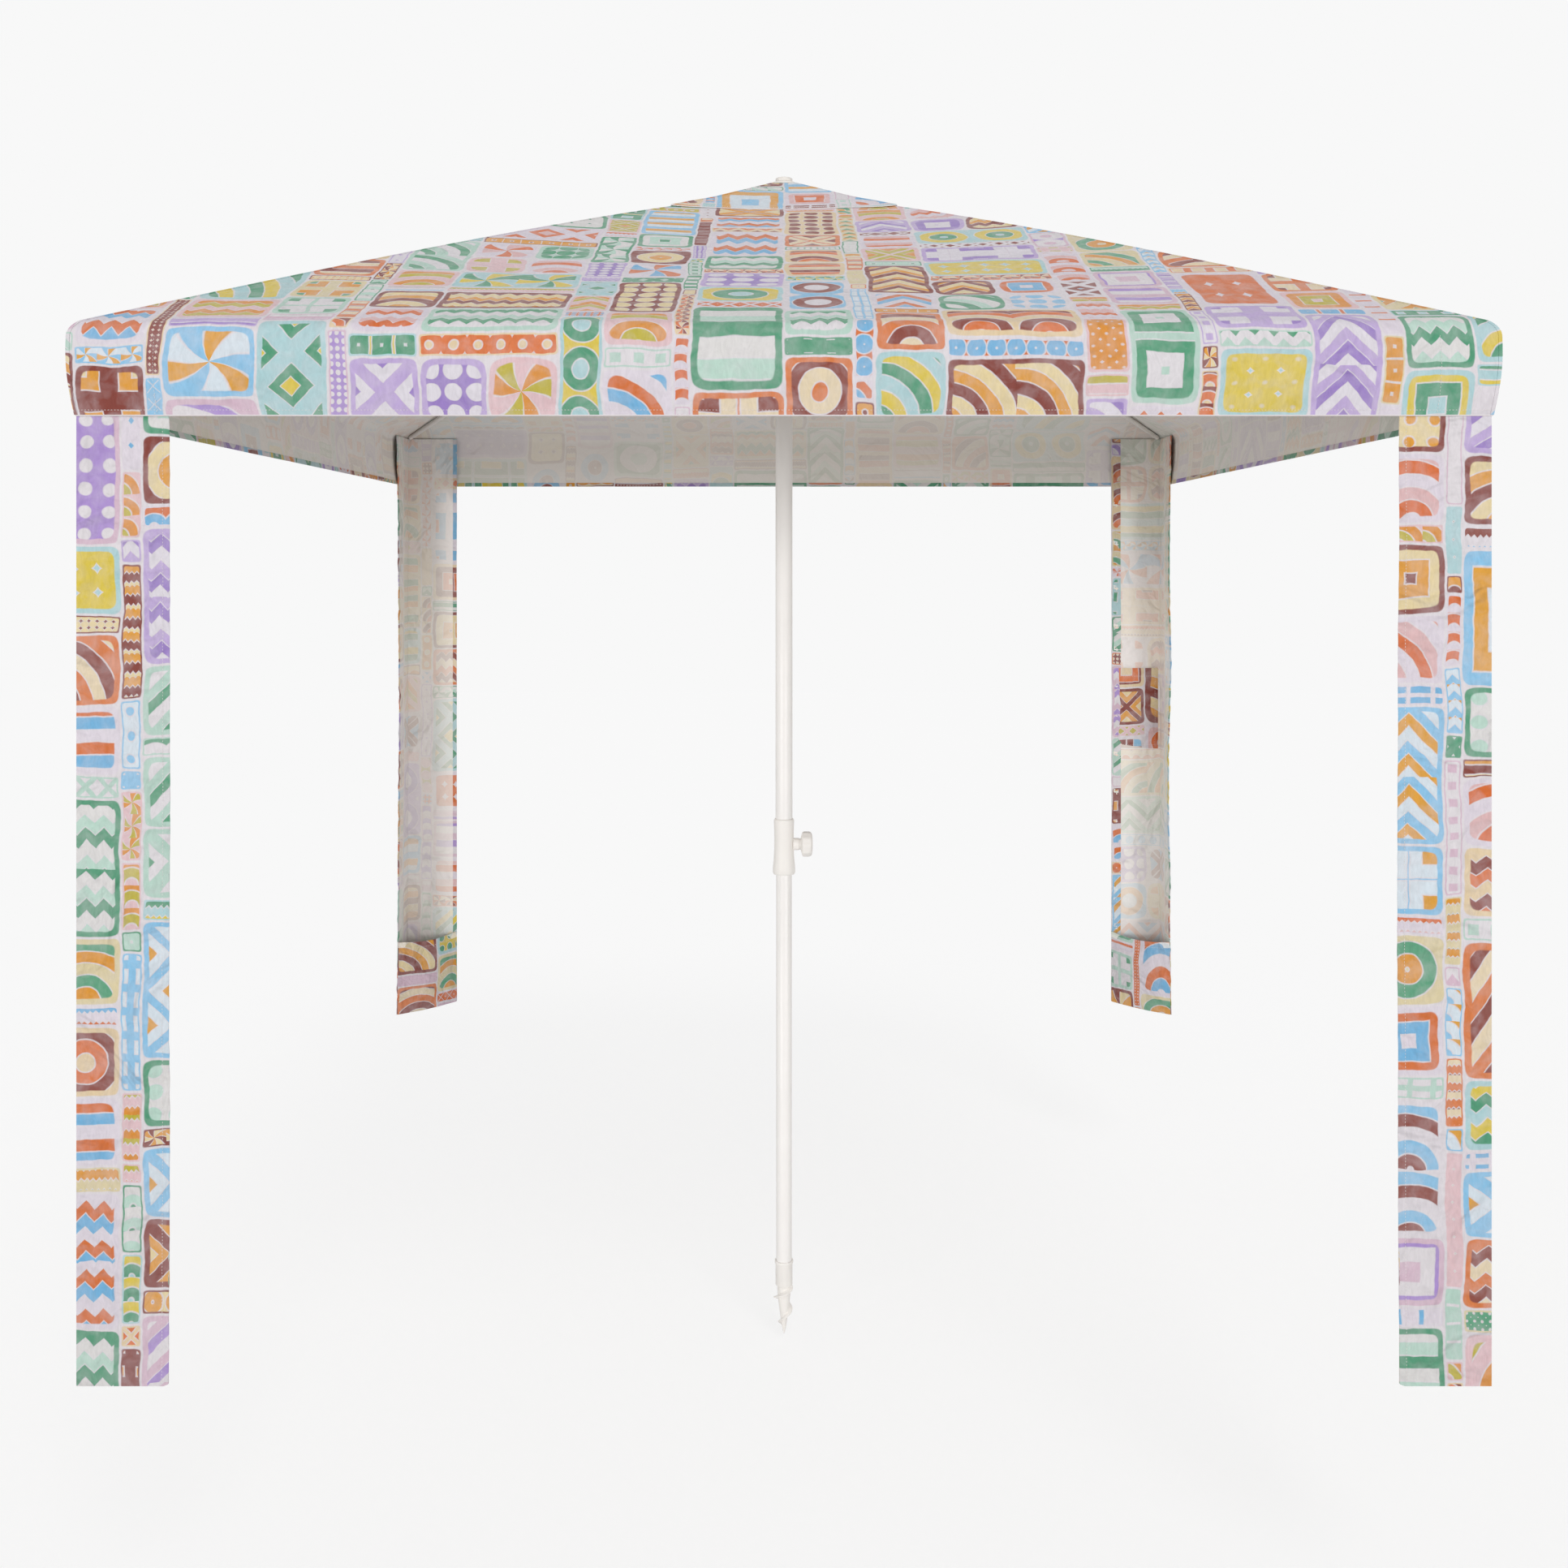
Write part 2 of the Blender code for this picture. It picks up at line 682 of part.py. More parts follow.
def brackets(axes):
    """Clips riveted round the ribs, with two ears and a cross pin for the strut."""
    high = BRACKET_SHOULDER
    low = -BRACKET_DROP - BRACKET_EAR
    names = [f"strut_bracket_{corner[0]}" for corner in CORNERS]
    mesh = bpy.data.meshes.new(names[0])
    shape = bmesh.new()
    size = Matrix.Diagonal((BRACKET_LENGTH, BRACKET_WIDTH, high - low, 1.0))
    place = Matrix.Translation((0.0, 0.0, (high + low) / 2 + BRACKET_DROP))
    bmesh.ops.create_cube(shape, size=1.0, matrix=place @ size)
    shape.to_mesh(mesh)
    shape.free()
    first = add_object(names[0], mesh, COATED)
    edge = first.modifiers.new("edges", "BEVEL")
    edge.width = BRACKET_FILLET
    edge.segments = 2
    length = BRACKET_LENGTH + 2 * OVERRUN
    rib_hole = (RIB_RADIUS + GAP, length)
    top = BRACKET_DROP - RIB_RADIUS - GAP - CLOTH
    bottom = -BRACKET_EAR - OVERRUN
    slot = (length, SLOT_WIDTH, top - bottom)
    cut = bars(
        "bracket_cut",
        [
            ("bar", rib_hole, Matrix.Translation((0.0, 0.0, BRACKET_DROP)) @ TO_X),
            ("box", slot, Matrix.Translation((0.0, 0.0, (top + bottom) / 2))),
        ],
    )
    combine(first, cut, "DIFFERENCE")
    pin = bars("bracket_pin", [("bar", (PIN_RADIUS, BRACKET_WIDTH - OVERRUN), TO_FRONT)])
    combine(first, pin, "UNION")
    shade(settle(first).data)
    reach = ARM * math.cos(ARM_ANGLE)
    fall = ARM * math.sin(ARM_ANGLE)
    at_corners(first, PIVOT_RADIUS + reach, CROWN_Z - fall, names, axes, HIP_ANGLE)


def struts(axes):
    """Flat bars from the ribs' brackets down to the runner."""
    names = [f"strut_{corner[0]}" for corner in CORNERS]
    first = rounded_plate(names[0], ARM, COATED)
    reach = ARM * math.cos(ARM_ANGLE)
    fall = ARM * math.sin(ARM_ANGLE)
    at_corners(first, PIVOT_RADIUS + reach, CROWN_Z - fall, names, axes, math.pi - ARM_ANGLE)


def slot_cuts(name, inner, outer, low, high, pins):
    """Slots at the four diagonals, with the holes for their cross pins."""
    shapes = []
    size = (outer - inner, SLOT_WIDTH, high - low)
    middle = Matrix.Translation(((outer + inner) / 2, 0.0, (high + low) / 2))
    for quarter in range(len(CORNERS)):
        turn = Matrix.Rotation(corner_turn(quarter), 4, "Z")
        shapes.append(("box", size, turn @ middle))
        if pins:
            across = Matrix.Translation((PIVOT_RADIUS, 0.0, 0.0)) @ TO_FRONT
            shapes.append(("bar", (PIN_RADIUS + GAP, PIN_LENGTH + 2 * GAP), turn @ across))
    return bars(name, shapes)


def crown_hub():
    """The moulded hub on top of the pole that the ribs are pinned to."""
    top = CAP_HEIGHT - CLOTH - GAP - CROWN_Z
    edge = top - CAP_SLOPE * (HUB_RADIUS - HUB_FLAT)
    seat = top - TUBE_SEAT
    bottom = -HUB_BELOW - SLEEVE_LENGTH
    hole = STUD_RADIUS + GAP
    outline = [
        (hole, top),
        (HUB_FLAT, top),
        (HUB_RADIUS, edge),
        (HUB_RADIUS, -HUB_BELOW + HUB_CHAMFER),
        (HUB_RADIUS - HUB_CHAMFER, -HUB_BELOW),
        (SLEEVE_RADIUS, -HUB_BELOW),
        (SLEEVE_RADIUS, bottom),
        (SLIDE_RADIUS, bottom),
        (SLIDE_RADIUS, seat),
        (hole, seat),
    ]
    hub = turned("crown_hub", outline, MOULDED, closed=True)
    hub.location = (0.0, 0.0, CROWN_Z)
    low = -HUB_BELOW - OVERRUN
    high = EYE_RADIUS + SLOT_ROOF
    cut = slot_cuts("crown_slots", SLOT_INNER, HUB_RADIUS + OVERRUN, low, high, True)
    cut.location = hub.location
    combine(hub, cut, "DIFFERENCE")
    shade(settle(hub).data)
    return hub


def runner():
    """The sleeve that slides on the pole and pushes the struts out."""
    outline = [
        (SLEEVE_RADIUS, RUNNER_ABOVE),
        (SLEEVE_RADIUS, RUNNER_HALF),
        (RUNNER_RADIUS - RUNNER_RIM, RUNNER_HALF),
        (RUNNER_RADIUS, RUNNER_HALF - RUNNER_RIM),
        (RUNNER_RADIUS, RUNNER_RIM - RUNNER_HALF),
        (RUNNER_RADIUS - RUNNER_RIM, -RUNNER_HALF),
        (SLEEVE_RADIUS, -RUNNER_HALF),
        (SLEEVE_RADIUS, -RUNNER_BELOW),
        (SLIDE_RADIUS, -RUNNER_BELOW),
        (SLIDE_RADIUS, RUNNER_ABOVE),
    ]
    made = turned("runner", outline, MOULDED, closed=True)
    made.location = (0.0, 0.0, RUNNER_Z)
    root = (SLIDE_RADIUS + SLEEVE_RADIUS) / 2
    boss_length = BUTTON_BOSS_REACH - root
    boss_place = Matrix.Translation((0.0, -(BUTTON_BOSS_REACH + root) / 2, -BUTTON_DROP)) @ TO_FRONT
    boss = bars("button_boss", [("bar", (BUTTON_BOSS_RADIUS, boss_length), boss_place)])
    boss.location = made.location
    combine(made, boss, "UNION")
    high = RUNNER_HALF + OVERRUN
    slots = slot_cuts("runner_slots", SLOT_INNER, RUNNER_RADIUS + OVERRUN, -high, high, False)
    slots.location = made.location
    combine(made, slots, "DIFFERENCE")
    well_length = BUTTON_BOSS_REACH + OVERRUN - BUTTON_WELL
    well_place = Matrix.Translation((0.0, -(BUTTON_WELL + well_length / 2), -BUTTON_DROP)) @ TO_FRONT
    well = bars("button_well", [("bar", (BUTTON_RADIUS + GAP, well_length), well_place)])
    well.location = made.location
    combine(made, well, "DIFFERENCE")
    shade(settle(made).data)
    return made


def runner_button(parent):
    """The spring button that frees the runner, and the spring behind it."""
    outer = BUTTON_BOSS_REACH + BUTTON_PROUD
    inner = outer - BUTTON_LENGTH
    outline = [
        (0.0, outer),
        (BUTTON_RADIUS - BUTTON_CROWN, outer),
        (BUTTON_RADIUS, outer - BUTTON_CROWN),
        (BUTTON_RADIUS, inner),
        (0.0, inner),
    ]
    mesh_z = RUNNER_Z - BUTTON_DROP
    button = turned_across("runner_button", outline, MOULDED, TO_FRONT)
    button.location = (0.0, 0.0, mesh_z)
    hang_on(button, parent)
    coil = bpy.data.curves.new("button_spring", "CURVE")
    coil.dimensions = "3D"
    coil.bevel_depth = SPRING_WIRE
    coil.bevel_resolution = 1
    coil.use_fill_caps = True
    steps = SPRING_TURN_COUNT * SPRING_POINT_COUNT
    low = BUTTON_WELL + GAP + SPRING_WIRE
    high = inner - GAP - SPRING_WIRE
    spline = coil.splines.new("POLY")
    spline.points.add(steps)
    for i, point in enumerate(spline.points):
        angle = 2 * math.pi * SPRING_TURN_COUNT * i / steps
        along = low + (high - low) * i / steps
        point.co = (SPRING_RADIUS * math.cos(angle), -along, SPRING_RADIUS * math.sin(angle), 1.0)
    spring = add_object("button_spring", coil, STEEL)
    spring.location = (0.0, 0.0, mesh_z)
    hang_on(spring, parent)


# Pole and clamp

def tube(name, radius, wall, top, bottom, finish):
    """A plain round tube."""
    outline = [(radius, top), (radius, bottom), (radius - wall, bottom), (radius - wall, top)]
    return turned(name, outline, finish, closed=True)


def pole():
    """The upper tube, the lower tube that slides in it, and the plug that guides them."""
    top = CAP_HEIGHT - CLOTH - GAP - TUBE_SEAT - GAP
    upper = tube("upper_tube", UPPER_RADIUS, UPPER_WALL, top, UPPER_BOTTOM, COATED)
    reach = (UPPER_RADIUS + OVERRUN - LOWER_RADIUS) * 2
    place = Matrix.Translation((UPPER_RADIUS, 0.0, CLAMP_HEIGHT)) @ TO_X
    combine(upper, bars("stud_hole", [("bar", (THREAD_RADIUS + GAP, reach), place)]), "DIFFERENCE")
    shade(settle(upper).data)
    tube("lower_tube", LOWER_RADIUS, LOWER_WALL, LOWER_TOP, LOWER_BOTTOM, COATED)
    inside = LOWER_RADIUS - LOWER_WALL - GAP
    outline = [
        (PLUG_BORE, LOWER_TOP + PLUG_HEAD),
        (LOWER_RADIUS, LOWER_TOP + PLUG_HEAD),
        (LOWER_RADIUS, LOWER_TOP + GAP),
        (inside, LOWER_TOP + GAP),
        (inside, LOWER_TOP - PLUG_DEPTH),
        (PLUG_BORE, LOWER_TOP - PLUG_DEPTH),
    ]
    turned("guide_plug", outline, MOULDED, closed=True)
    return upper


def finial():
    """The cap and washer that hold the canopy down on the crown hub."""
    base = CAP_HEIGHT + GAP
    hole = STUD_RADIUS + GAP
    outline = [
        (hole, base + WASHER_HEIGHT),
        (FINIAL_RADIUS, base + WASHER_HEIGHT),
        (WASHER_RADIUS - WASHER_EDGE, base + WASHER_HEIGHT - WASHER_EDGE),
        (WASHER_RADIUS, base + WASHER_EDGE),
        (WASHER_RADIUS - WASHER_EDGE, base),
        (hole, base),
    ]
    washer = turned("finial_washer", outline, MOULDED, closed=True)
    low = base + WASHER_HEIGHT + GAP
    outline = [
        (0.0, low + FINIAL_HEIGHT),
        (FINIAL_RADIUS - FINIAL_EDGE, low + FINIAL_HEIGHT),
        (FINIAL_RADIUS, low + FINIAL_HEIGHT - FINIAL_EDGE),
        (FINIAL_RADIUS, low),
        (STUD_RADIUS, low),
        (STUD_RADIUS, CAP_HEIGHT - CLOTH - STUD_DEPTH),
        (0.0, CAP_HEIGHT - CLOTH - STUD_DEPTH),
    ]
    return washer, turned("finial", outline, MOULDED)


def clamp_collar():
    """The moulded collar on the foot of the upper tube, with a boss for the knob's stud."""
    outer = SLIDE_RADIUS
    inner = LOWER_RADIUS + GAP
    outline = [
        (COLLAR_TOP_RADIUS - COLLAR_LIP / 2, COLLAR_TOP),
        (COLLAR_TOP_RADIUS, COLLAR_TOP - COLLAR_LIP),
    ]
    high = COLLAR_TOP - 2 * COLLAR_LIP
    low = COLLAR_BOTTOM + COLLAR_FLARE_RISE
    for i in range(FLARE_STEP_COUNT + 1):
        t = i / FLARE_STEP_COUNT
        upper = (COLLAR_TOP_RADIUS - COLLAR_WAIST_RADIUS) * (1 - t) ** FLARE_POWER
        lower = (COLLAR_FLARE_RADIUS - COLLAR_WAIST_RADIUS) * t**FLARE_POWER
        outline.append((COLLAR_WAIST_RADIUS + upper + lower, high + (low - high) * t))
    outline += [
        (COLLAR_FLARE_RADIUS, COLLAR_BOTTOM + COLLAR_LIP),
        (COLLAR_FLARE_RADIUS - COLLAR_LIP / 2, COLLAR_BOTTOM),
        (inner, COLLAR_BOTTOM),
        (inner, UPPER_BOTTOM - GAP),
        (outer, UPPER_BOTTOM - GAP),
        (outer, COLLAR_TOP),
    ]
    collar = turned("clamp_collar", outline, MOULDED, closed=True)
    root = (outer + COLLAR_WAIST_RADIUS) / 2
    centre = Matrix.Translation(((BOSS_REACH + root) / 2, 0.0, CLAMP_HEIGHT)) @ TO_X
    boss = bars("clamp_boss", [("bar", (BOSS_RADIUS, BOSS_REACH - root), centre)])
    edge = boss.modifiers.new("edges", "BEVEL")
    edge.width = BOSS_EDGE
    edge.segments = 2
    combine(collar, boss, "UNION")
    length = BOSS_REACH + OVERRUN - root
    seat = COLLAR_WAIST_RADIUS + length / 2
    wide = Matrix.Translation((seat, 0.0, CLAMP_HEIGHT)) @ TO_X
    thin_length = 2 * (COLLAR_WAIST_RADIUS - inner)
    thin = Matrix.Translation((outer, 0.0, CLAMP_HEIGHT)) @ TO_X
    cut = bars(
        "insert_seat",
        [
            ("bar", (INSERT_RADIUS + GAP, length), wide),
            ("bar", (THREAD_RADIUS + GAP, thin_length + OVERRUN), thin),
        ],
    )
    combine(collar, cut, "DIFFERENCE")
    shade(settle(collar).data)
    low = COLLAR_WAIST_RADIUS + GAP
    high = BOSS_REACH - GAP
    hole = THREAD_RADIUS + GAP
    outline = [(INSERT_RADIUS, high), (INSERT_RADIUS, low), (hole, low), (hole, high)]
    insert = turned_across("clamp_insert", outline, BRASS, TO_X, closed=True)
    insert.location = (0.0, 0.0, CLAMP_HEIGHT)
    return collar, insert


def fluted(name, outline, depth_of, flutes, finish):
    """A turned piece along +X whose rim is drawn in by flutes. Outline is (radius, along)."""
    mesh = bpy.data.meshes.new(name)
    shape = bmesh.new()
    steps = flutes * FLUTE_STEP_COUNT
    rings = []
    for radius, along in outline:
        if radius == 0.0:
            rings.append([shape.verts.new((along, 0.0, 0.0))])
            continue
        ring = []
        for i in range(steps):
            angle = 2 * math.pi * i / steps
            drawn = radius - depth_of(radius) * math.sin(flutes * angle / 2) ** 4
            place = (along, drawn * math.cos(angle), drawn * math.sin(angle))
            ring.append(shape.verts.new(place))
        rings.append(ring)
    for near, far in zip(rings, rings[1:]):
        for i in range(steps):
            k = (i + 1) % steps
            if len(near) == 1:
                shape.faces.new((near[0], far[k], far[i]))
            elif len(far) == 1:
                shape.faces.new((near[i], near[k], far[0]))
            else:
                shape.faces.new((near[i], near[k], far[k], far[i]))
    bmesh.ops.recalc_face_normals(shape, faces=shape.faces)
    shape.to_mesh(mesh)
    shape.free()
    return add_object(name, mesh, finish)


def clamp_knob(parent):
    """The fluted hand knob and the threaded stud that is moulded into it."""
    start = BOSS_REACH + GAP
    head = start + KNOB_NECK_LENGTH
    end = start + KNOB_LENGTH
    hole = THREAD_RADIUS + GAP
    outline = [
        (0.0, start + KNOB_STUD_DEPTH),
        (hole, start + KNOB_STUD_DEPTH),
        (hole, start),
        (KNOB_NECK, start),
        (KNOB_NECK, start + KNOB_NECK_LENGTH / 2),
    ]
    for radius_share, along_share in KNOB_EDGE_SHARES:
        outline.append((KNOB_HEAD * radius_share, head + (end - head) * along_share))
    outline.append((0.0, end))

    def depth_of(radius):
        return KNOB_FLUTE * max(0.0, (radius - KNOB_NECK) / (KNOB_HEAD - KNOB_NECK))

    knob = fluted("clamp_knob", outline, depth_of, KNOB_FLUTE_COUNT, MOULDED)
    shade(knob.data, 50.0)
    near = LOWER_RADIUS + GAP
    far = start + KNOB_STUD_DEPTH - GAP
    outline = [(0.0, far), (THREAD_RADIUS, far), (THREAD_RADIUS, near), (0.0, near)]
    stud = turned_across("clamp_stud", outline, STEEL, TO_X)
    for piece in (knob, stud):
        piece.location = (0.0, 0.0, CLAMP_HEIGHT)
        hang_on(piece, parent)


def ground_screw():
    """The plastic point under the pole, with a sleeve round the tube and a tapering flight."""
    length = SCREW_SHOULDER - SCREW_TIP
    inner = LOWER_RADIUS + GAP
    floor = LOWER_BOTTOM - GAP
    lip_end = SCREW_TOP - SCREW_LIP
    outline = [
        (0.0, floor),
        (inner, floor),
        (inner, SCREW_TOP),
        (SCREW_SLEEVE_RADIUS + SCREW_EDGE, SCREW_TOP),
        (SCREW_SLEEVE_RADIUS + SCREW_EDGE, lip_end),
        (SCREW_SLEEVE_RADIUS, lip_end - SCREW_LIP_SLOPE),
        (SCREW_SLEEVE_RADIUS, SCREW_SHOULDER + SCREW_LIP_SLOPE),
    ]
    for radius_share, along_share in SCREW_SHARES:
        outline.append((SCREW_CORE * radius_share, SCREW_SHOULDER - length * along_share))
    core = turned("ground_screw", outline, MOULDED)

    def core_radius(z):
        """Radius of the core at a height."""
        share = (SCREW_SHOULDER - z) / length
        if share <= 0.0:
            return SCREW_CORE
        for (r0, a0), (r1, a1) in zip(SCREW_SHARES, SCREW_SHARES[1:]):
            if share <= a1:
                return SCREW_CORE * (r0 + (r1 - r0) * (share - a0) / (a1 - a0))
        return 0.0

    mesh = bpy.data.meshes.new("screw_flight")
    shape = bmesh.new()
    steps = int(FLIGHT_STEP_COUNT * SCREW_TURNS_SHARE)
    rings = []
    for i in range(steps + 1):
        share = i / steps
        angle = 2 * math.pi * SCREW_TURNS_SHARE * share
        z = SCREW_FLIGHT_TOP - SCREW_PITCH * SCREW_TURNS_SHARE * share
        ends = min(1.0, share / FLIGHT_RUN_SHARE, (1 - share) / FLIGHT_RUN_SHARE)
        fullness = FLIGHT_END_SHARE + (1 - FLIGHT_END_SHARE) * math.sin(QUARTER * ends)
        core_at = core_radius(z)
        rim = core_at + SCREW_FLIGHT * (1 - FLIGHT_TAPER_SHARE * share) * fullness
        deep = core_at * FLIGHT_SEAT_SHARE
        root = SCREW_ROOT * (1 - ROOT_TAPER_SHARE * share)
        neck = root * FLIGHT_NECK_SHARE
        edge = SCREW_EDGE / 2
        upper = [(deep, root), (core_at, neck), (rim, edge)]
        lower = [(radius, -up) for radius, up in upper[::-1]]
        ring = []
        for radius, up in upper + lower:
            place = (radius * math.cos(angle), -radius * math.sin(angle), z + up)
            ring.append(shape.verts.new(place))
        rings.append(ring)
    count = len(rings[0])
    for near, far in zip(rings, rings[1:]):
        for i in range(count):
            k = (i + 1) % count
            shape.faces.new((near[i], near[k], far[k], far[i]))
    shape.faces.new(rings[0][::-1])
    shape.faces.new(rings[-1])
    bmesh.ops.recalc_face_normals(shape, faces=shape.faces)
    shape.to_mesh(mesh)
    shape.free()
    flight = add_object("screw_flight", mesh, None, CUTTERS)
    combine(core, flight, "UNION")
    shade(settle(core).data, 30.0)
    return core


def main():
    """Build every piece and hang the moving ones on their joints' axes."""
    slide = empty("pole_height", (0.0, 0.0, UPPER_BOTTOM))
    for piece in (pole(), *clamp_collar(), crown_hub(), *finial()):
        hang_on(piece, slide)
    ground_screw()
    clamp_knob(empty("clamp_knob_turn", (0.0, 0.0, CLAMP_HEIGHT), 0.0, slide))
    track = empty("runner_slide", (0.0, 0.0, RUNNER_Z), 0.0, slide)
    hang_on(runner(), track)
    runner_button(track)
    pole_top = {corner[0]: slide for corner in CORNERS}
    rib_axes = corner_axes("rib_fold", PIVOT_RADIUS, CROWN_Z, pole_top)
    reach = ARM * math.cos(ARM_ANGLE)
    fall = ARM * math.sin(ARM_ANGLE)
    strut_axes = corner_axes("strut_turn", PIVOT_RADIUS + reach, CROWN_Z - fall, rib_axes)
    leg_axes = corner_axes("leg_hang", TIP_RADIUS, TIP_Z, rib_axes)
    crown_pins(pole_top)
    ribs(rib_axes)
    rib_tips(rib_axes)
    brackets(rib_axes)
    roof_panels(rib_axes)
    valances(rib_axes)
    vent_caps(rib_axes)
    struts(strut_axes)
    legs(leg_axes)
    sand_pockets(leg_axes)
    stow_pocket(leg_axes)


main()
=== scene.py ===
import json
import math

import bmesh
import bpy
from mathutils import Matrix, Vector, noise


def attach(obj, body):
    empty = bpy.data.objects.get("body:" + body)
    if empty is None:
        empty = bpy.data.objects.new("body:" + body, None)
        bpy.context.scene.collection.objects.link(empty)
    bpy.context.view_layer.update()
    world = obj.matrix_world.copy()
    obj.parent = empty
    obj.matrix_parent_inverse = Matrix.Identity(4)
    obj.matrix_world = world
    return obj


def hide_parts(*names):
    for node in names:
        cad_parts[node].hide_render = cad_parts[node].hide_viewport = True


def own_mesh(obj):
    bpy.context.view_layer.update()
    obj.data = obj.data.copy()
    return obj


# Beach tent: printed cloth over a folding frame on one pole, in metres, front at -Y
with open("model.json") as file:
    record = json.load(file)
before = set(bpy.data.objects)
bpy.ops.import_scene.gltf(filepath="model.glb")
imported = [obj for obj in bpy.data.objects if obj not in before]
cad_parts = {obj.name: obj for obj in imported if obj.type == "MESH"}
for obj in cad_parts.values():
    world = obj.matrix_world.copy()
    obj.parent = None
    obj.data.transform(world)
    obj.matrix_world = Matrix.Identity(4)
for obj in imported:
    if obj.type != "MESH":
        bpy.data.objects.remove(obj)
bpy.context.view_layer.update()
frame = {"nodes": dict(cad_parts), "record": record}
print("frame loaded:", len(frame["nodes"]), "nodes")

# sides are (name, outward, along), with along to the right as seen from outside
sides = [
    ("front", Vector((0, -1, 0)), Vector((1, 0, 0))),
    ("right", Vector((1, 0, 0)), Vector((0, 1, 0))),
    ("rear", Vector((0, 1, 0)), Vector((-1, 0, 0))),
    ("left", Vector((-1, 0, 0)), Vector((0, -1, 0))),
]
corners = ["rear_right", "rear_left", "front_left", "front_right"]  # by quarter turn from +X +Y
up = Vector((0, 0, 1))


def hexColour(code):
    values = [int(code[i : i + 2], 16) / 255 for i in (1, 3, 5)]
    made = [v / 12.92 if v <= 0.04045 else ((v + 0.055) / 1.055) ** 2.4 for v in values]
    return (*made, 1.0)


def addNode(tree, kind, inputs=(), output=0, **settings):
    # inputs are a list in socket order, or a dictionary by number or name
    node = tree.nodes.new(kind)
    for name, value in settings.items():
        setattr(node, name, value)
    pairs = inputs.items() if isinstance(inputs, dict) else enumerate(inputs)
    for socket, value in pairs:
        if isinstance(value, bpy.types.NodeSocket):
            tree.links.new(value, node.inputs[socket])
        else:
            node.inputs[socket].default_value = value
    return node.outputs[output] if node.outputs else node


def mathNode(tree, operation, *inputs):
    return addNode(tree, "ShaderNodeMath", inputs, operation=operation)


def vectorNode(tree, operation, *inputs):
    output = 1 if operation == "LENGTH" else 0
    return addNode(tree, "ShaderNodeVectorMath", inputs, output, operation=operation)


def scaleNode(tree, vector, factor):
    return addNode(tree, "ShaderNodeVectorMath", {0: vector, 3: factor}, operation="SCALE")


def mixColours(tree, share, first, second):
    return addNode(tree, "ShaderNodeMix", {0: share, 6: first, 7: second}, 2, data_type="RGBA")


def mapRange(tree, value, *limits):
    # limits are where the value starts and ends, and what it becomes there
    return addNode(tree, "ShaderNodeMapRange", [value, *limits])


def noiseNode(tree, place, scale, output=0, **settings):
    inputs = {"Vector": place, "Scale": scale}
    inputs.update((name.capitalize(), value) for name, value in settings.items())
    return addNode(tree, "ShaderNodeTexNoise", inputs, output)


def newMaterial(name):
    made = bpy.data.materials.new(name)
    made.use_nodes = True
    made.node_tree.nodes.clear()
    return made, made.node_tree


def closeMaterial(tree, inputs):
    shader = addNode(tree, "ShaderNodeBsdfPrincipled", inputs)
    addNode(tree, "ShaderNodeOutputMaterial", {"Surface": shader})


def cornerAcross(sideIndex, sign):
    name = sides[sideIndex][0]
    other = sides[(sideIndex + sign) % 4][0]
    corner = f"{name}_{other}" if name in ("front", "rear") else f"{other}_{name}"
    return corner, f"roof_{name}_{other}"


# print of the cloth: painted tiles in unlike columns, with borders between them
canvasLook = {
    "columns": (0.118, 0.036, 0.118, 0.232, 0.074, 0.118, 0.030, 0.156),
    "rows": (0.118, 0.034, 0.118, 0.232, 0.040, 0.118),
    "splitOver": 0.2,  # tiles larger than this may be cut in four
    "wholeShare": 0.4,  # share of them that stay whole
    "tooth": 0.125,  # half a zigzag's tooth, as a share of its tile
    "pinwheel": 9,  # bands in one turn of a pinwheel
    "dots": 3.0,  # dots across a dotted tile
    "dotRings": 3.1,
    "bandLeast": 0.013,
    "bandGrowth": 0.075,  # larger motifs have wider bands
    "marginLeast": 0.002,
    "marginGrowth": 0.075,  # plain ground round a motif
    "lineHalf": 0.0021,  # half the pale painted line between tiles
    "resist": 0.0011,  # half the pale line between the bands of a motif
    "corner": 0.2,  # share of a tile that rounds its corners
    "wobble": 0.0075,  # how far the painted lines stray
    "washes": ((9.0, 0.12), (34.0, 0.24)),  # patches per metre, and how far the paint thins
    "strokes": (26.0, 9.0, 1.0),  # stretch of the brush strokes
    "strokeTone": (0.84, 0.95),
    "thread": 0.0012,  # real threads are 0.4 mm apart, drawn three times as coarse to show
    "tautCrease": 0.012,
    "slackCrease": 0.022,
    "faded": 0.79,  # the print shows through to the reverse only weakly
    "slackFadedLitThrough": 0.68,  # and more in the legs, where the extra print is painted light that comes through them
    "seed": 4.0,
    "ground": "#DCD6DA",
    "bare": "#F0EBE4",  # unprinted reverse
    "schemes": (  # colour of the tile, and the two colours of its motif
        ("#DFC8A2", "#D7733A", "#89453A"),
        ("#B2CFC2", "#DBD7DA", "#559B78"),
        ("#8BC0E2", "#D3DEE6", "#DA9E40"),
        ("#85433A", "#DB9A3C", "#E1CE9E"),
        ("#529876", "#B7D5C7", "#DAD8D6"),
        ("#BBA6D3", "#DBD6DE", "#9A80C2"),
        ("#D9D0DA", "#D46C35", "#DAB2B2"),
        ("#DDBCC0", "#BDAF40", "#D88F3A"),
        ("#DBD5DA", "#8A463A", "#88BDDF"),
        ("#ABCDD1", "#529876", "#D8C14A"),
        ("#D57A42", "#E1CFAE", "#8A463A"),
        ("#D8CAA2", "#D89538", "#5E9F7D"),
        ("#DAD2DB", "#74B0D8", "#D27038"),
        ("#D2B5C5", "#DCD7DA", "#A88CCB"),
    ),
}


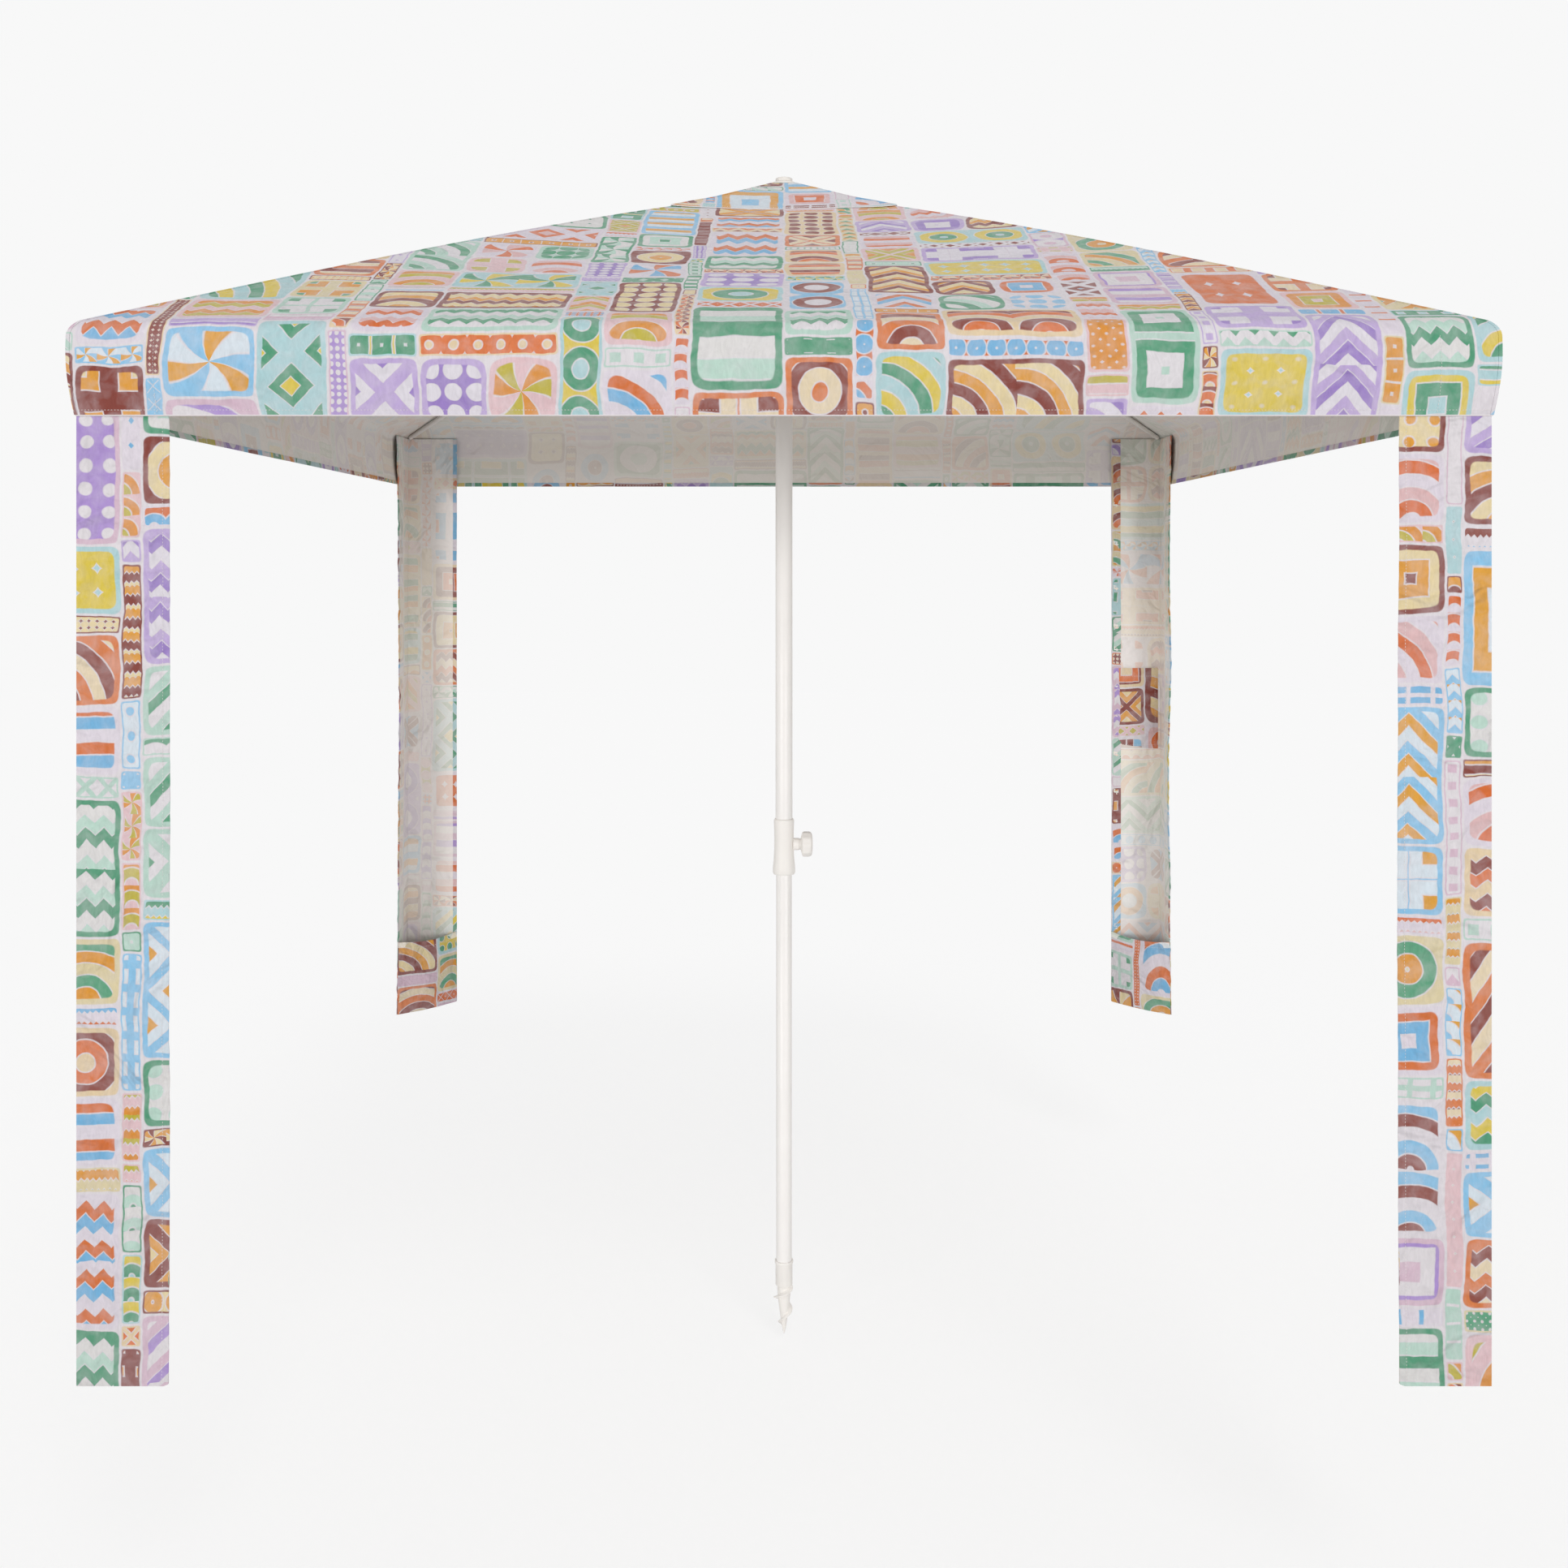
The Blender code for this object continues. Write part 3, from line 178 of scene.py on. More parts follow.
def partsAlong(tree, place, widths):
    # number of the part that a place lies in, how far into it, and the part's width
    whole = mathNode(tree, "DIVIDE", place, sum(widths))
    whole = mathNode(tree, "FLOOR", whole)
    within = mathNode(tree, "MULTIPLY_ADD", whole, -sum(widths), place)
    rest = within
    number = mathNode(tree, "MULTIPLY", whole, float(len(widths)))
    width = widths[0]
    edge = 0.0
    for before, after in zip(widths, widths[1:]):
        edge += before
        past = mathNode(tree, "GREATER_THAN", rest, edge)
        number = mathNode(tree, "ADD", number, past)
        within = mathNode(tree, "MULTIPLY_ADD", past, -before, within)
        width = mathNode(tree, "MULTIPLY_ADD", past, after - before, width)
    return number, within, width


def motifFields(tree, look, cx, cy, size):
    # each motif is a field whose whole numbers are its bands of colour
    centre = addNode(tree, "ShaderNodeCombineXYZ", [cx, cy])
    ax = mathNode(tree, "ABSOLUTE", cx)
    ay = mathNode(tree, "ABSOLUTE", cy)
    radius = vectorNode(tree, "LENGTH", centre)
    square = mathNode(tree, "MAXIMUM", ax, ay)
    cross = mathNode(tree, "MINIMUM", ax, ay)
    leaning = mathNode(tree, "SUBTRACT", ax, ay)
    leaning = mathNode(tree, "ABSOLUTE", leaning)
    chevron = mathNode(tree, "ADD", ax, cy)
    saw = mathNode(tree, "PINGPONG", cx, look["tooth"])
    zigzag = mathNode(tree, "ADD", cy, saw)
    foot = vectorNode(tree, "ADD", centre, (0.0, 0.5, 0.0))
    arch = vectorNode(tree, "LENGTH", foot)
    corner = vectorNode(tree, "ADD", centre, (0.5, 0.5, 0.0))
    fan = vectorNode(tree, "LENGTH", corner)
    fields = []
    for shape in (radius, square, cross, leaning, chevron, zigzag, arch, fan, cy):
        fields.append(mathNode(tree, "MULTIPLY", shape, size))
    turn = mathNode(tree, "ARCTAN2", cy, cx)
    fields.append(mathNode(tree, "MULTIPLY_ADD", turn, look["pinwheel"] / (2 * math.pi), radius))
    small = scaleNode(tree, centre, look["dots"])
    small = vectorNode(tree, "ADD", small, (0.5, 0.5, 0.5))
    small = vectorNode(tree, "FRACTION", small)
    small = vectorNode(tree, "SUBTRACT", small, (0.5, 0.5, 0.0))
    dot = vectorNode(tree, "LENGTH", small)
    fields.append(mathNode(tree, "MULTIPLY", dot, look["dotRings"]))
    return fields


def buildPatchwork(look):
    group = bpy.data.node_groups.new("patchworkPrint", "ShaderNodeTree")
    group.interface.new_socket("Place", in_out="INPUT", socket_type="NodeSocketVector")
    group.interface.new_socket("Colour", in_out="OUTPUT", socket_type="NodeSocketColor")
    place = addNode(group, "NodeGroupInput")
    # hand painted lines stray, widely and in small shakes
    moved = place
    for scale, reach in ((10.0, look["wobble"]), (48.0, look["wobble"] / 4)):
        stray = noiseNode(group, place, scale, 1, detail=1.0)
        stray = vectorNode(group, "SUBTRACT", stray, (0.5, 0.5, 0.5))
        moved = vectorNode(group, "MULTIPLY_ADD", stray, (2 * reach, 2 * reach, 0.0), moved)
    split = addNode(group, "ShaderNodeSeparateXYZ", [moved]).node
    column, inX, width = partsAlong(group, split.outputs[0], look["columns"])
    key = addNode(group, "ShaderNodeCombineXYZ", [column, look["seed"]])
    shift = addNode(group, "ShaderNodeTexWhiteNoise", {"Vector": key})
    down = mathNode(group, "MULTIPLY_ADD", shift, sum(look["rows"]), split.outputs[1])
    row, inY, height = partsAlong(group, down, look["rows"])
    # a large tile is cut in four or stays whole, and a border repeats its motif
    least = mathNode(group, "MINIMUM", width, height)
    key = addNode(group, "ShaderNodeCombineXYZ", [column, row, look["seed"] + 1])
    spin = addNode(group, "ShaderNodeTexWhiteNoise", {"Vector": key})
    cut = mathNode(group, "GREATER_THAN", spin, look["wholeShare"])
    large = mathNode(group, "GREATER_THAN", least, look["splitOver"])
    cut = mathNode(group, "MULTIPLY", cut, large)
    cells, halves, spots = [], [], []
    for inside, whole in ((inX, width), (inY, height)):
        count = mathNode(group, "DIVIDE", whole, least)
        count = mathNode(group, "ROUND", count)
        count = mathNode(group, "MULTIPLY_ADD", count, cut, count)
        long = mathNode(group, "DIVIDE", whole, count)
        at = mathNode(group, "DIVIDE", inside, long)
        cell = mathNode(group, "FLOOR", at)
        spots.append(mathNode(group, "MULTIPLY", cell, cut))
        at = mathNode(group, "FRACT", at)
        at = mathNode(group, "SUBTRACT", at, 0.5)
        cells.append((at, long))
        # distance to the painted line: of the cell where it is cut, else of the tile
        away = mathNode(group, "ABSOLUTE", at)
        away = mathNode(group, "SUBTRACT", 0.5, away)
        away = mathNode(group, "MULTIPLY", away, long)
        tileAway = mathNode(group, "SUBTRACT", whole, inside)
        tileAway = mathNode(group, "MINIMUM", tileAway, inside)
        halves.append(addNode(group, "ShaderNodeMix", {0: cut, 2: tileAway, 3: away}))
    corner = mathNode(group, "MULTIPLY", least, look["corner"])
    edge = mathNode(group, "SMOOTH_MIN", *halves, corner)
    key = vectorNode(group, "MULTIPLY", key, (7.0, 3.0, 0.0))
    cellKey = addNode(group, "ShaderNodeCombineXYZ", spots)
    key = vectorNode(group, "ADD", key, cellKey)
    # three throws for each cell: its motif, its colours and where its bands begin
    dice = []
    for i in range(3):
        key = vectorNode(group, "ADD", key, (17.3, 5.7, 9.1))
        dice.append(addNode(group, "ShaderNodeTexWhiteNoise", {"Vector": key}))
    cellSize = mathNode(group, "MINIMUM", cells[0][1], cells[1][1])
    band = mathNode(group, "MULTIPLY_ADD", cellSize, look["bandGrowth"], look["bandLeast"])
    bands = mathNode(group, "DIVIDE", cellSize, band)
    fields = motifFields(group, look, cells[0][0], cells[1][0], bands)
    choice = mathNode(group, "MULTIPLY", dice[0], float(len(fields)))
    choice = mathNode(group, "FLOOR", choice)
    field = 0.0
    for i, each in enumerate(fields):
        chosen = mathNode(group, "COMPARE", choice, float(i), 0.5)
        field = mathNode(group, "MULTIPLY_ADD", chosen, each, field)
    field = mathNode(group, "ADD", field, dice[2])
    # the bands take the tile's three colours in turn, with a pale line between them
    turn = mathNode(group, "FLOOR", field)
    turn = mathNode(group, "FLOORED_MODULO", turn, 3.0)
    shades = []
    for third in range(3):
        ramp = addNode(group, "ShaderNodeValToRGB", [dice[1]])
        colours = ramp.node.color_ramp
        colours.interpolation = "CONSTANT"
        for i, scheme in enumerate(look["schemes"]):
            share = i / len(look["schemes"])
            stop = colours.elements[i] if i < 2 else colours.elements.new(share)
            stop.position = share
            stop.color = hexColour(scheme[third])
        shades.append(ramp)
    painted = shades[0]
    for i in (1, 2):
        chosen = mathNode(group, "COMPARE", turn, float(i), 0.5)
        painted = mixColours(group, chosen, painted, shades[i])
    ground = hexColour(look["ground"])
    resist = mathNode(group, "PINGPONG", field, 0.5)
    resist = mathNode(group, "MULTIPLY", resist, band)
    resist = mapRange(group, resist, look["resist"] * 0.5, look["resist"] * 1.7, 0.85, 0.0)
    painted = mixColours(group, resist, painted, ground)
    margin = mathNode(group, "MULTIPLY_ADD", cellSize, look["marginGrowth"], look["marginLeast"])
    margin = mathNode(group, "DIVIDE", edge, margin)
    margin = mapRange(group, margin, 0.92, 1.08, 1.0, 0.0)
    painted = mixColours(group, margin, painted, shades[0])
    line = mapRange(group, edge, look["lineHalf"] * 0.6, look["lineHalf"] * 1.4, 1.0, 0.0)
    painted = mixColours(group, line, painted, ground)
    # water colour: the paint thins in patches and along brush strokes
    for scale, most in look["washes"]:
        wash = noiseNode(group, place, scale, detail=4.0, distortion=0.6)
        wash = mapRange(group, wash, 0.38, 0.72, 0.0, most)
        painted = mixColours(group, wash, painted, ground)
    stretched = vectorNode(group, "MULTIPLY", moved, look["strokes"])
    brush = noiseNode(group, stretched, 4.0, detail=4.0, distortion=1.6)
    brush = mapRange(group, brush, 0.3, 0.7, *look["strokeTone"])
    painted = scaleNode(group, painted, brush)
    addNode(group, "NodeGroupOutput", [painted])
    return group


patchwork = buildPatchwork(canvasLook)


def canvasMaterial(name, faded, look, crease):
    # plain woven polyester: matt, with a faint sheen, soft creases and fine threads
    made, tree = newMaterial(name)
    place = addNode(tree, "ShaderNodeUVMap", uv_map="cloth")
    colour = addNode(tree, "ShaderNodeGroup", node_tree=patchwork)
    tree.links.new(place, colour.node.inputs["Place"])
    if faded:
        colour = mixColours(tree, faded, colour, hexColour(look["bare"]))
    split = addNode(tree, "ShaderNodeSeparateXYZ", [place]).node
    threads = []
    for socket in split.outputs[:2]:
        phase = mathNode(tree, "MULTIPLY", socket, 2 * math.pi / look["thread"])
        threads.append(mathNode(tree, "SINE", phase))
    weave = mathNode(tree, "MULTIPLY", *threads)
    # the hollows between the threads are darkened in the colour, as painted shade
    shade = mapRange(tree, weave, -1.0, 1.0, 0.955, 1.0)
    colour = scaleNode(tree, colour, shade)
    # folds about 12 cm apart, with finer ones of 4 cm in them
    wide = noiseNode(tree, place, 8.0, detail=2.0, distortion=1.4)
    fine = noiseNode(tree, place, 26.0, detail=1.0, distortion=2.0)
    folds = mathNode(tree, "MULTIPLY_ADD", fine, 0.12, wide)
    soft = addNode(tree, "ShaderNodeBump", {"Strength": 1.0, "Distance": crease, "Height": folds})
    bump = {"Strength": 0.12, "Distance": 0.0004, "Height": weave, "Normal": soft}
    bump = addNode(tree, "ShaderNodeBump", bump)
    closeMaterial(tree, {
        "Base Color": colour,
        "Roughness": 0.86,
        "Specular IOR Level": 0.25,
        "Sheen Weight": 0.12,
        "Normal": bump,
    })
    return made


def canvasPair(kind, faded, crease):
    # the printed face, and the paler reverse that the print shows through to
    return (
        canvasMaterial(f"printedCanvas{kind}", 0.0, canvasLook, crease),
        canvasMaterial(f"canvasReverse{kind}", faded, canvasLook, crease),
    )


tautCanvas = canvasPair("Taut", canvasLook["faded"], canvasLook["tautCrease"])
# the legs' reverse shows more print, as painted light coming through the cloth
slackCanvas = canvasPair("Slack", canvasLook["slackFadedLitThrough"], canvasLook["slackCrease"])


def plainMaterial(name, colour, roughness, metallic, grain, bumpHeight, mottle=0.03):
    # grain is the size in metres of the surface's own texture
    made, tree = newMaterial(name)
    place = addNode(tree, "ShaderNodeTexCoord", output=3)
    fine = noiseNode(tree, place, 1 / grain, detail=3.0)
    wide = noiseNode(tree, place, 14.0, detail=3.0)
    tone = mapRange(tree, wide, 0.3, 0.7, 1 - mottle, 1.0)
    tinted = scaleNode(tree, hexColour(colour)[:3], tone)
    gloss = mapRange(tree, fine, 0.3, 0.7, roughness - 0.04, roughness + 0.05)
    bump = addNode(tree, "ShaderNodeBump", {"Strength": 0.3, "Distance": bumpHeight, "Height": fine})
    surface = {"Base Color": tinted, "Roughness": gloss, "Metallic": metallic, "Normal": bump}
    closeMaterial(tree, surface)
    return made


# soft orange peel with a satin shine
coatedAluminium = plainMaterial("powderCoatedAluminium", "#F4F1EE", 0.36, 0.0, 0.0012, 0.00008)
# fine spark texture, duller than the coating
mouldedPlastic = plainMaterial("mouldedWhitePolypropylene", "#F3EFEA", 0.44, 0.0, 0.0006, 0.00005)
# greyer than the other white plastic, which is painted shade that keeps the finial from washing out
# in the light, and flatter
sunnedPlastic = plainMaterial("paintedShadeWhitePolypropylene", "#DDD8D2", 0.5, 0.0, 0.0006, 0.00005)
# warm, with fine turning marks
turnedBrass = plainMaterial("turnedBrass", "#C8A860", 0.3, 1.0, 0.0008, 0.00003)
# cool and bright
zincSteel = plainMaterial("zincPlatedSteel", "#B4B6BA", 0.32, 1.0, 0.0008, 0.00003)
# matt pale edge under the hems
hemTape = plainMaterial("hemTapeWoven", "#DAD3D4", 0.85, 0.0, 0.0011, 0.0002)
# pale beads of thread
seamThread = plainMaterial("polyesterThread", "#E2DCDA", 0.7, 0.0, 0.0008, 0.0001)
print("materials made")


# sheets of cloth
clothLook = {
    "thickness": 0.0008,
    "fold": 0.0009,  # half the thickness of a turned hem
    "hem": 0.012,
    "tape": 0.0024,  # width of the pale edge of a hem
    "stitch": 0.0036,
    "stitchStep": 0.0055,
    "stitchInset": 0.002,  # from the hem's turned edge to its stitches
    "proud": 0.0003,  # how far stitches stand off the cloth
    "threadRadius": 0.0004,
    "weld": 0.00002,
}


def sheetMesh(name, grids, thickness, flip=False, canvas=tautCanvas):
    # grids are (rows of points, rows of print places, rows of material numbers)
    shape = bmesh.new()
    layer = shape.loops.layers.uv.new("cloth")
    for rows, places, finishes in grids:
        verts = [[shape.verts.new(p) for p in row] for row in rows]
        for i in range(len(rows) - 1):
            for j in range(len(rows[0]) - 1):
                ring = [(i, j), (i + 1, j), (i + 1, j + 1), (i, j + 1)]
                ring = ring[::-1] if flip else ring
                face = shape.faces.new([verts[a][b] for a, b in ring])
                face.material_index = finishes[i]
                face.smooth = True
                for loop, (a, b) in zip(face.loops, ring):
                    loop[layer].uv = places[a][b]
    bmesh.ops.remove_doubles(shape, verts=shape.verts, dist=clothLook["weld"])
    mesh = bpy.data.meshes.new(name)
    shape.to_mesh(mesh)
    shape.free()
    made = bpy.data.objects.new(name, mesh)
    bpy.context.scene.collection.objects.link(made)
    for finish in (*canvas, hemTape, hemTape):
        mesh.materials.append(finish)
    wall = made.modifiers.new("wall", "SOLIDIFY")
    wall.thickness = thickness
    wall.offset = -1.0
    wall.material_offset = 1
    return settle(made)


def settle(made, sharp=40.0):
    graph = bpy.context.evaluated_depsgraph_get()
    mesh = bpy.data.meshes.new_from_object(made.evaluated_get(graph))
    made.modifiers.clear()
    old = made.data
    made.data = mesh
    if isinstance(old, bpy.types.Mesh):
        bpy.data.meshes.remove(old)
    mesh.name = made.name
    mesh.shade_smooth()
    mesh.set_sharp_from_angle(angle=math.radians(sharp))
    return made


def turnHem(path, inward, look):
    # the path's end folds back on its inner side; points are 2D
    edge, last = path[-1], path[-2]
    d = (edge - last).normalized()
    f = look["fold"]
    turned = [edge - d * f, edge + inward * f, edge - d * f + inward * 2 * f]
    return path[:-1] + turned + [edge - d * look["hem"] + inward * 2 * f]


def alongPath(path):
    length = [0.0]
    for a, b in zip(path, path[1:]):
        length.append(length[-1] + (b - a).length)
    return length


def stitchTree():
    tree = bpy.data.node_groups.new("stitchRow", "GeometryNodeTree")
    face = tree.interface
    face.new_socket("Geometry", in_out="INPUT", socket_type="NodeSocketGeometry")
    for name in ("Step", "Length", "Radius"):
        face.new_socket(name, in_out="INPUT", socket_type="NodeSocketFloat")
    face.new_socket("Thread", in_out="INPUT", socket_type="NodeSocketMaterial")
    face.new_socket("Geometry", in_out="OUTPUT", socket_type="NodeSocketGeometry")
    source = addNode(tree, "NodeGroupInput").node
    line = addNode(tree, "GeometryNodeMeshToCurve", {0: source.outputs["Geometry"]})
    spaced = {"Curve": line, "Length": source.outputs["Step"]}
    line = addNode(tree, "GeometryNodeResampleCurve", spaced, mode="LENGTH")
    tangent = addNode(tree, "GeometryNodeInputTangent")
    turn = addNode(tree, "FunctionNodeAlignRotationToVector", {"Vector": tangent}, axis="Z")
    bead = addNode(tree, "GeometryNodeMeshUVSphere", {"Segments": 6, "Rings": 4, "Radius": 1.0})
    half = mathNode(tree, "MULTIPLY", source.outputs["Length"], 0.5)
    radius = source.outputs["Radius"]
    size = addNode(tree, "ShaderNodeCombineXYZ", [radius, radius, half])
    beads = {"Points": line, "Instance": bead, "Rotation": turn, "Scale": size}
    placed = addNode(tree, "GeometryNodeInstanceOnPoints", beads)
    solid = addNode(tree, "GeometryNodeRealizeInstances", {0: placed})
    thread = {"Geometry": solid, "Material": source.outputs["Thread"]}
    shaded = addNode(tree, "GeometryNodeSetMaterial", thread)
    addNode(tree, "NodeGroupOutput", {0: shaded})
    return tree


stitchRow = stitchTree()


def stitches(name, lines, look):
    points, edges = [], []
    for line in lines:
        start = len(points)
        points += line
        edges += [(start + i, start + i + 1) for i in range(len(line) - 1)]
    mesh = bpy.data.meshes.new(name)
    mesh.from_pydata(points, edges, [])
    made = bpy.data.objects.new(name, mesh)
    bpy.context.scene.collection.objects.link(made)
    step = made.modifiers.new("stitches", "NODES")
    step.node_group = stitchRow
    values = {
        "Step": look["stitchStep"],
        "Length": look["stitch"],
        "Radius": look["threadRadius"],
        "Thread": seamThread,
    }
    for item in stitchRow.interface.items_tree:
        if item.in_out == "INPUT" and item.name in values:
            step[item.identifier] = values[item.name]
    return settle(made, 60.0)


# canopy and vent cap
canopy = {
    "eave": 1.2,  # half the width
    "eaveZ": 1.787,
    "rise": 0.5112,  # from the eaves to where the four sides would meet
    "roll": 0.03,  # radius of the eave
    "drop": 0.155,  # height of the valance
    "slant": 0.008,  # how far its hem stands in
    "vent": 0.17,  # half the width of the opening under the cap
    "dip": 0.006,  # cloth sinks between the ribs
    "bow": 0.0135,  # ribs bend up
    "bowShare": 0.8,  # below 1 the ribs bend most nearer the crown
    "belly": 0.005,  # valance stands out half way down
    "ripple": 0.0012,
    "hemWave": 0.0022,
    "capFrom": 0.030,
    "capTop": 2.3017,
    "capHalf": 0.257,
    "capLift": 0.0016,
    "capDip": 0.004,
    "columns": 72,
    "capColumns": 22,
    "columnPower": 1.35,  # columns lie closer near the hips
    "roofRows": 70,
    "pucker": 0.0016,
    "puckerReach": 0.045,
    "seamHalf": 0.006,
    "seamRise": 0.0009,
    "legSeams": {("front", -1): 0.147, ("front", 1): 0.103},
    "legSeam": 0.147,
    "legSeamTop": 0.022,  # from the eave down to the seams that hold the legs
    "legSeamShort": 0.03,  # how much shorter than the valance they are
    "hipStretch": 1.12,  # a hip is longer than the path down the middle of a side
    "middleGap": 0.00005,  # from the middle of a side to each of its halves
    "stitchProud": 0.00025,
    "printStep": 3.7,  # every side takes another part of the print
    "capPrint": 0.4,  # and so does the cap
    "foldTilt": 47,  # degrees
    "foldedShare": 0.105,
}
slope = canopy["rise"] / canopy["eave"]


def roofPlane(h):
    return canopy["eaveZ"] + slope * (canopy["eave"] - h)


def canopyProfile():
    c = canopy
    turn = math.pi / 2 - math.atan(slope)
    back = c["roll"] * math.tan(turn / 2)
    centre = Vector((c["eave"] - c["roll"], c["eaveZ"] - back))
    first = centre + c["roll"] * Vector((math.cos(turn), math.sin(turn)))
    path = []
    for i in range(c["roofRows"]):
        h = c["vent"] + (first.x - c["vent"]) * i / c["roofRows"]
        path.append(Vector((h, roofPlane(h))))
    for i in range(9):
        angle = turn * (1 - i / 8)
        path.append(centre + c["roll"] * Vector((math.cos(angle), math.sin(angle))))
    top = path[-1]
    foot = Vector((c["eave"] - c["slant"], c["eaveZ"] - c["drop"]))
    for share in (0.12, 0.25, 0.38, 0.5, 0.62, 0.74, 0.85, 0.93):
        path.append(top.lerp(foot, share))
    path.append(foot.lerp(top, clothLook["tape"] / c["drop"]))
    path.append(foot)
    return turnHem(path, Vector((-1, 0)), clothLook)


def capProfile():
    c = canopy
    start = Vector((c["capFrom"], c["capTop"]))
    foot = Vector((c["capHalf"], roofPlane(c["capHalf"]) + c["capLift"] + 2.4 * clothLook["fold"]))
    path = [start.lerp(foot, i / 12) for i in range(12)]
    path.append(foot.lerp(start, clothLook["tape"] / (foot - start).length))
    path.append(foot)
    d = (foot - start).normalized()
    return turnHem(path, Vector((d.y, -d.x)), clothLook)


def lifted(side, a, h, z, isCap=False):
    # bowed ribs, cloth that sinks between them and small pulls in it
    c = canopy
    share = min(1.0, max(0.0, (h - c["vent"]) / (c["eave"] - c["vent"])))
    u = min(1.0, abs(a) / max(h, 0.001))
    onRoof = min(1.0, max(0.0, (z - c["eaveZ"] + c["roll"]) / c["roll"]))
    rise = c["bow"] * math.sin(math.pi * share ** c["bowShare"]) * u * u
    sink = c["dip"] * 4 * share * (1 - share) * (1 - u * u)
    if isCap:
        sink = c["capDip"] * (1 - u * u) * min(1.0, h / c["capHalf"])
    pull = noise.noise(Vector((a * 5.0, h * 4.0, side * 3.7))) * c["ripple"] * 2
    pull += noise.noise(Vector((a * 17.0, h * 9.0, 5 + side * 3.7))) * c["ripple"] * 0.6
    # small gathers beside the sewn hips
    near = max(0.0, 1 - (h - abs(a)) / c["puckerReach"])
    pull += noise.noise(Vector((h * 34.0, side * 3.7, 9.0))) * c["pucker"] * near * (1 - near) * 4
    drop = min(1.0, max(0.0, (c["eaveZ"] - z) / c["drop"]))
    wave = noise.noise(Vector((a * 3.1, 2.0, side * 5.1)))
    wave += 0.5 * noise.noise(Vector((a * 9.0, 7.0, side * 5.1)))
    free = 1 - u ** 6  # two sides meet exactly on the hip
    swell = 1 + c["belly"] * math.sin(math.pi * drop) / c["eave"]
    return wave * c["hemWave"] * drop * free, (rise - sink + pull * free) * onRoof, swell


def sidePoint(side, a, h, z, isCap=False):
    outward, along = sides[side][1:]
    out, rise, swell = lifted(side, a, h, z, isCap)
    return (outward * (h + out) + along * a) * swell + up * (z + rise)


def printRow(side, sign, row, far, isCap):
    down = (canopy["capPrint"] if isCap else 0.0) - far
    return [(sign * a + canopy["printStep"] * side, down) for a in row]


def halfGrid(side, sign, path, isCap=False):
    # columns run from the middle of the side to the hip
    lengths = alongPath(path)
    columns = canopy["capColumns" if isCap else "columns"]
    shares = [1 - (1 - j / columns) ** canopy["columnPower"] for j in range(columns + 1)]
    rows, places = [], []
    for point, far in zip(path, lengths):
        limit = point.x - clothLook["thickness"]
        gap = canopy["middleGap"]
        row = [gap + (limit - gap) * share for share in shares]
        rows.append([sidePoint(side, sign * a, point.x, point.y, isCap) for a in row])
        places.append(printRow(side, sign, row, far, isCap))
    tapeFrom = len(path) - 5
    finishes = [2 if tapeFrom <= i < len(path) - 3 else 0 for i in range(len(path))]
    return rows, places, finishes


def dressHalf(label, side, sign, path, isCap, stitchLines, nodes):
    corner, roofNode = cornerAcross(side, sign)
    name = f"{label}_{roofNode[5:]}"
    flip = sign < 0
    piece = sheetMesh(name, [halfGrid(side, sign, path, isCap)], clothLook["thickness"], flip)
    thread = stitches(f"{name}_stitches", stitchLines, clothLook)
    for each in (piece, thread):
        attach(each, f"rib_{corner}")
        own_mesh(each)
    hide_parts(*nodes)
    return piece, thread


def outLine(side, sign, stations, isCap=False):
    # a line of stitches just proud of the cloth, through (across, out, height) stations
    outward = sides[side][1]
    made = []
    for a, h, z in stations:
        made.append(sidePoint(side, sign * a, h, z, isCap) + outward * canopy["stitchProud"])
    return made


path = canopyProfile()
capPath = capProfile()
for side in range(4):
    for sign in (1, -1):
        corner, roofNode = cornerAcross(side, sign)
        sideName = sides[side][0]
        c = canopy
        hemZ = c["eaveZ"] - c["drop"] + clothLook["hem"] - clothLook["stitchInset"]
        hemH = c["eave"] - c["slant"] * (1 - clothLook["hem"] / c["drop"])
        stations = [(0.003 + (hemH - 0.006) * i / 60, hemH, hemZ) for i in range(61)]
        lines = [outLine(side, sign, stations)]
        seamAt = c["eave"] - c["legSeams"].get((sideName, sign), c["legSeam"])
        stations = []
        for i in range(9):
            down = (c["drop"] - c["legSeamShort"]) * i / 8
            h = c["eave"] - c["slant"] * down / c["drop"]
            stations.append((seamAt, h, c["eaveZ"] - c["legSeamTop"] - down))
        lines.append(outLine(side, sign, stations))
        nodes = [roofNode] + ([f"valance_{corner}"] if sign > 0 else [])
        piece, thread = dressHalf("canopy", side, sign, path, False, lines, nodes)
        d = (capPath[-5] - capPath[0]).normalized()
        at = capPath[-5] - d * (clothLook["hem"] - clothLook["stitchInset"])
        stations = [(0.002 + (at.x - 0.004) * i / 20, at.x, at.y + 0.0003) for i in range(21)]
        nodes = [f"vent_cap_{corner}"] if sign > 0 else []
        lines = [outLine(side, sign, stations, True)]
        cap, thread = dressHalf("cap_cloth", side, sign, capPath, True, lines, nodes)
print("canopy and vent cap made")


def seamGrid(side, sign, path, isCap):
    # one side of the felled seam that runs down a hip
    lengths = alongPath(path)
    rows, places = [], []
    for i, (point, far) in enumerate(zip(path, lengths)):
        before, after = path[max(0, i - 1)], path[min(len(path) - 1, i + 1)]
        d = (after - before).normalized()
        normal = Vector((-d.y, d.x))
        normal = normal if normal.x + normal.y > 0 else -normal
        out = point + normal * canopy["seamRise"]
        row = [out.x - canopy["seamHalf"], out.x]
        rows.append([sidePoint(side, sign * a, out.x, out.y, isCap) for a in row])
        places.append(printRow(side, sign, row, far, isCap))
    return rows, places, [0] * len(path)


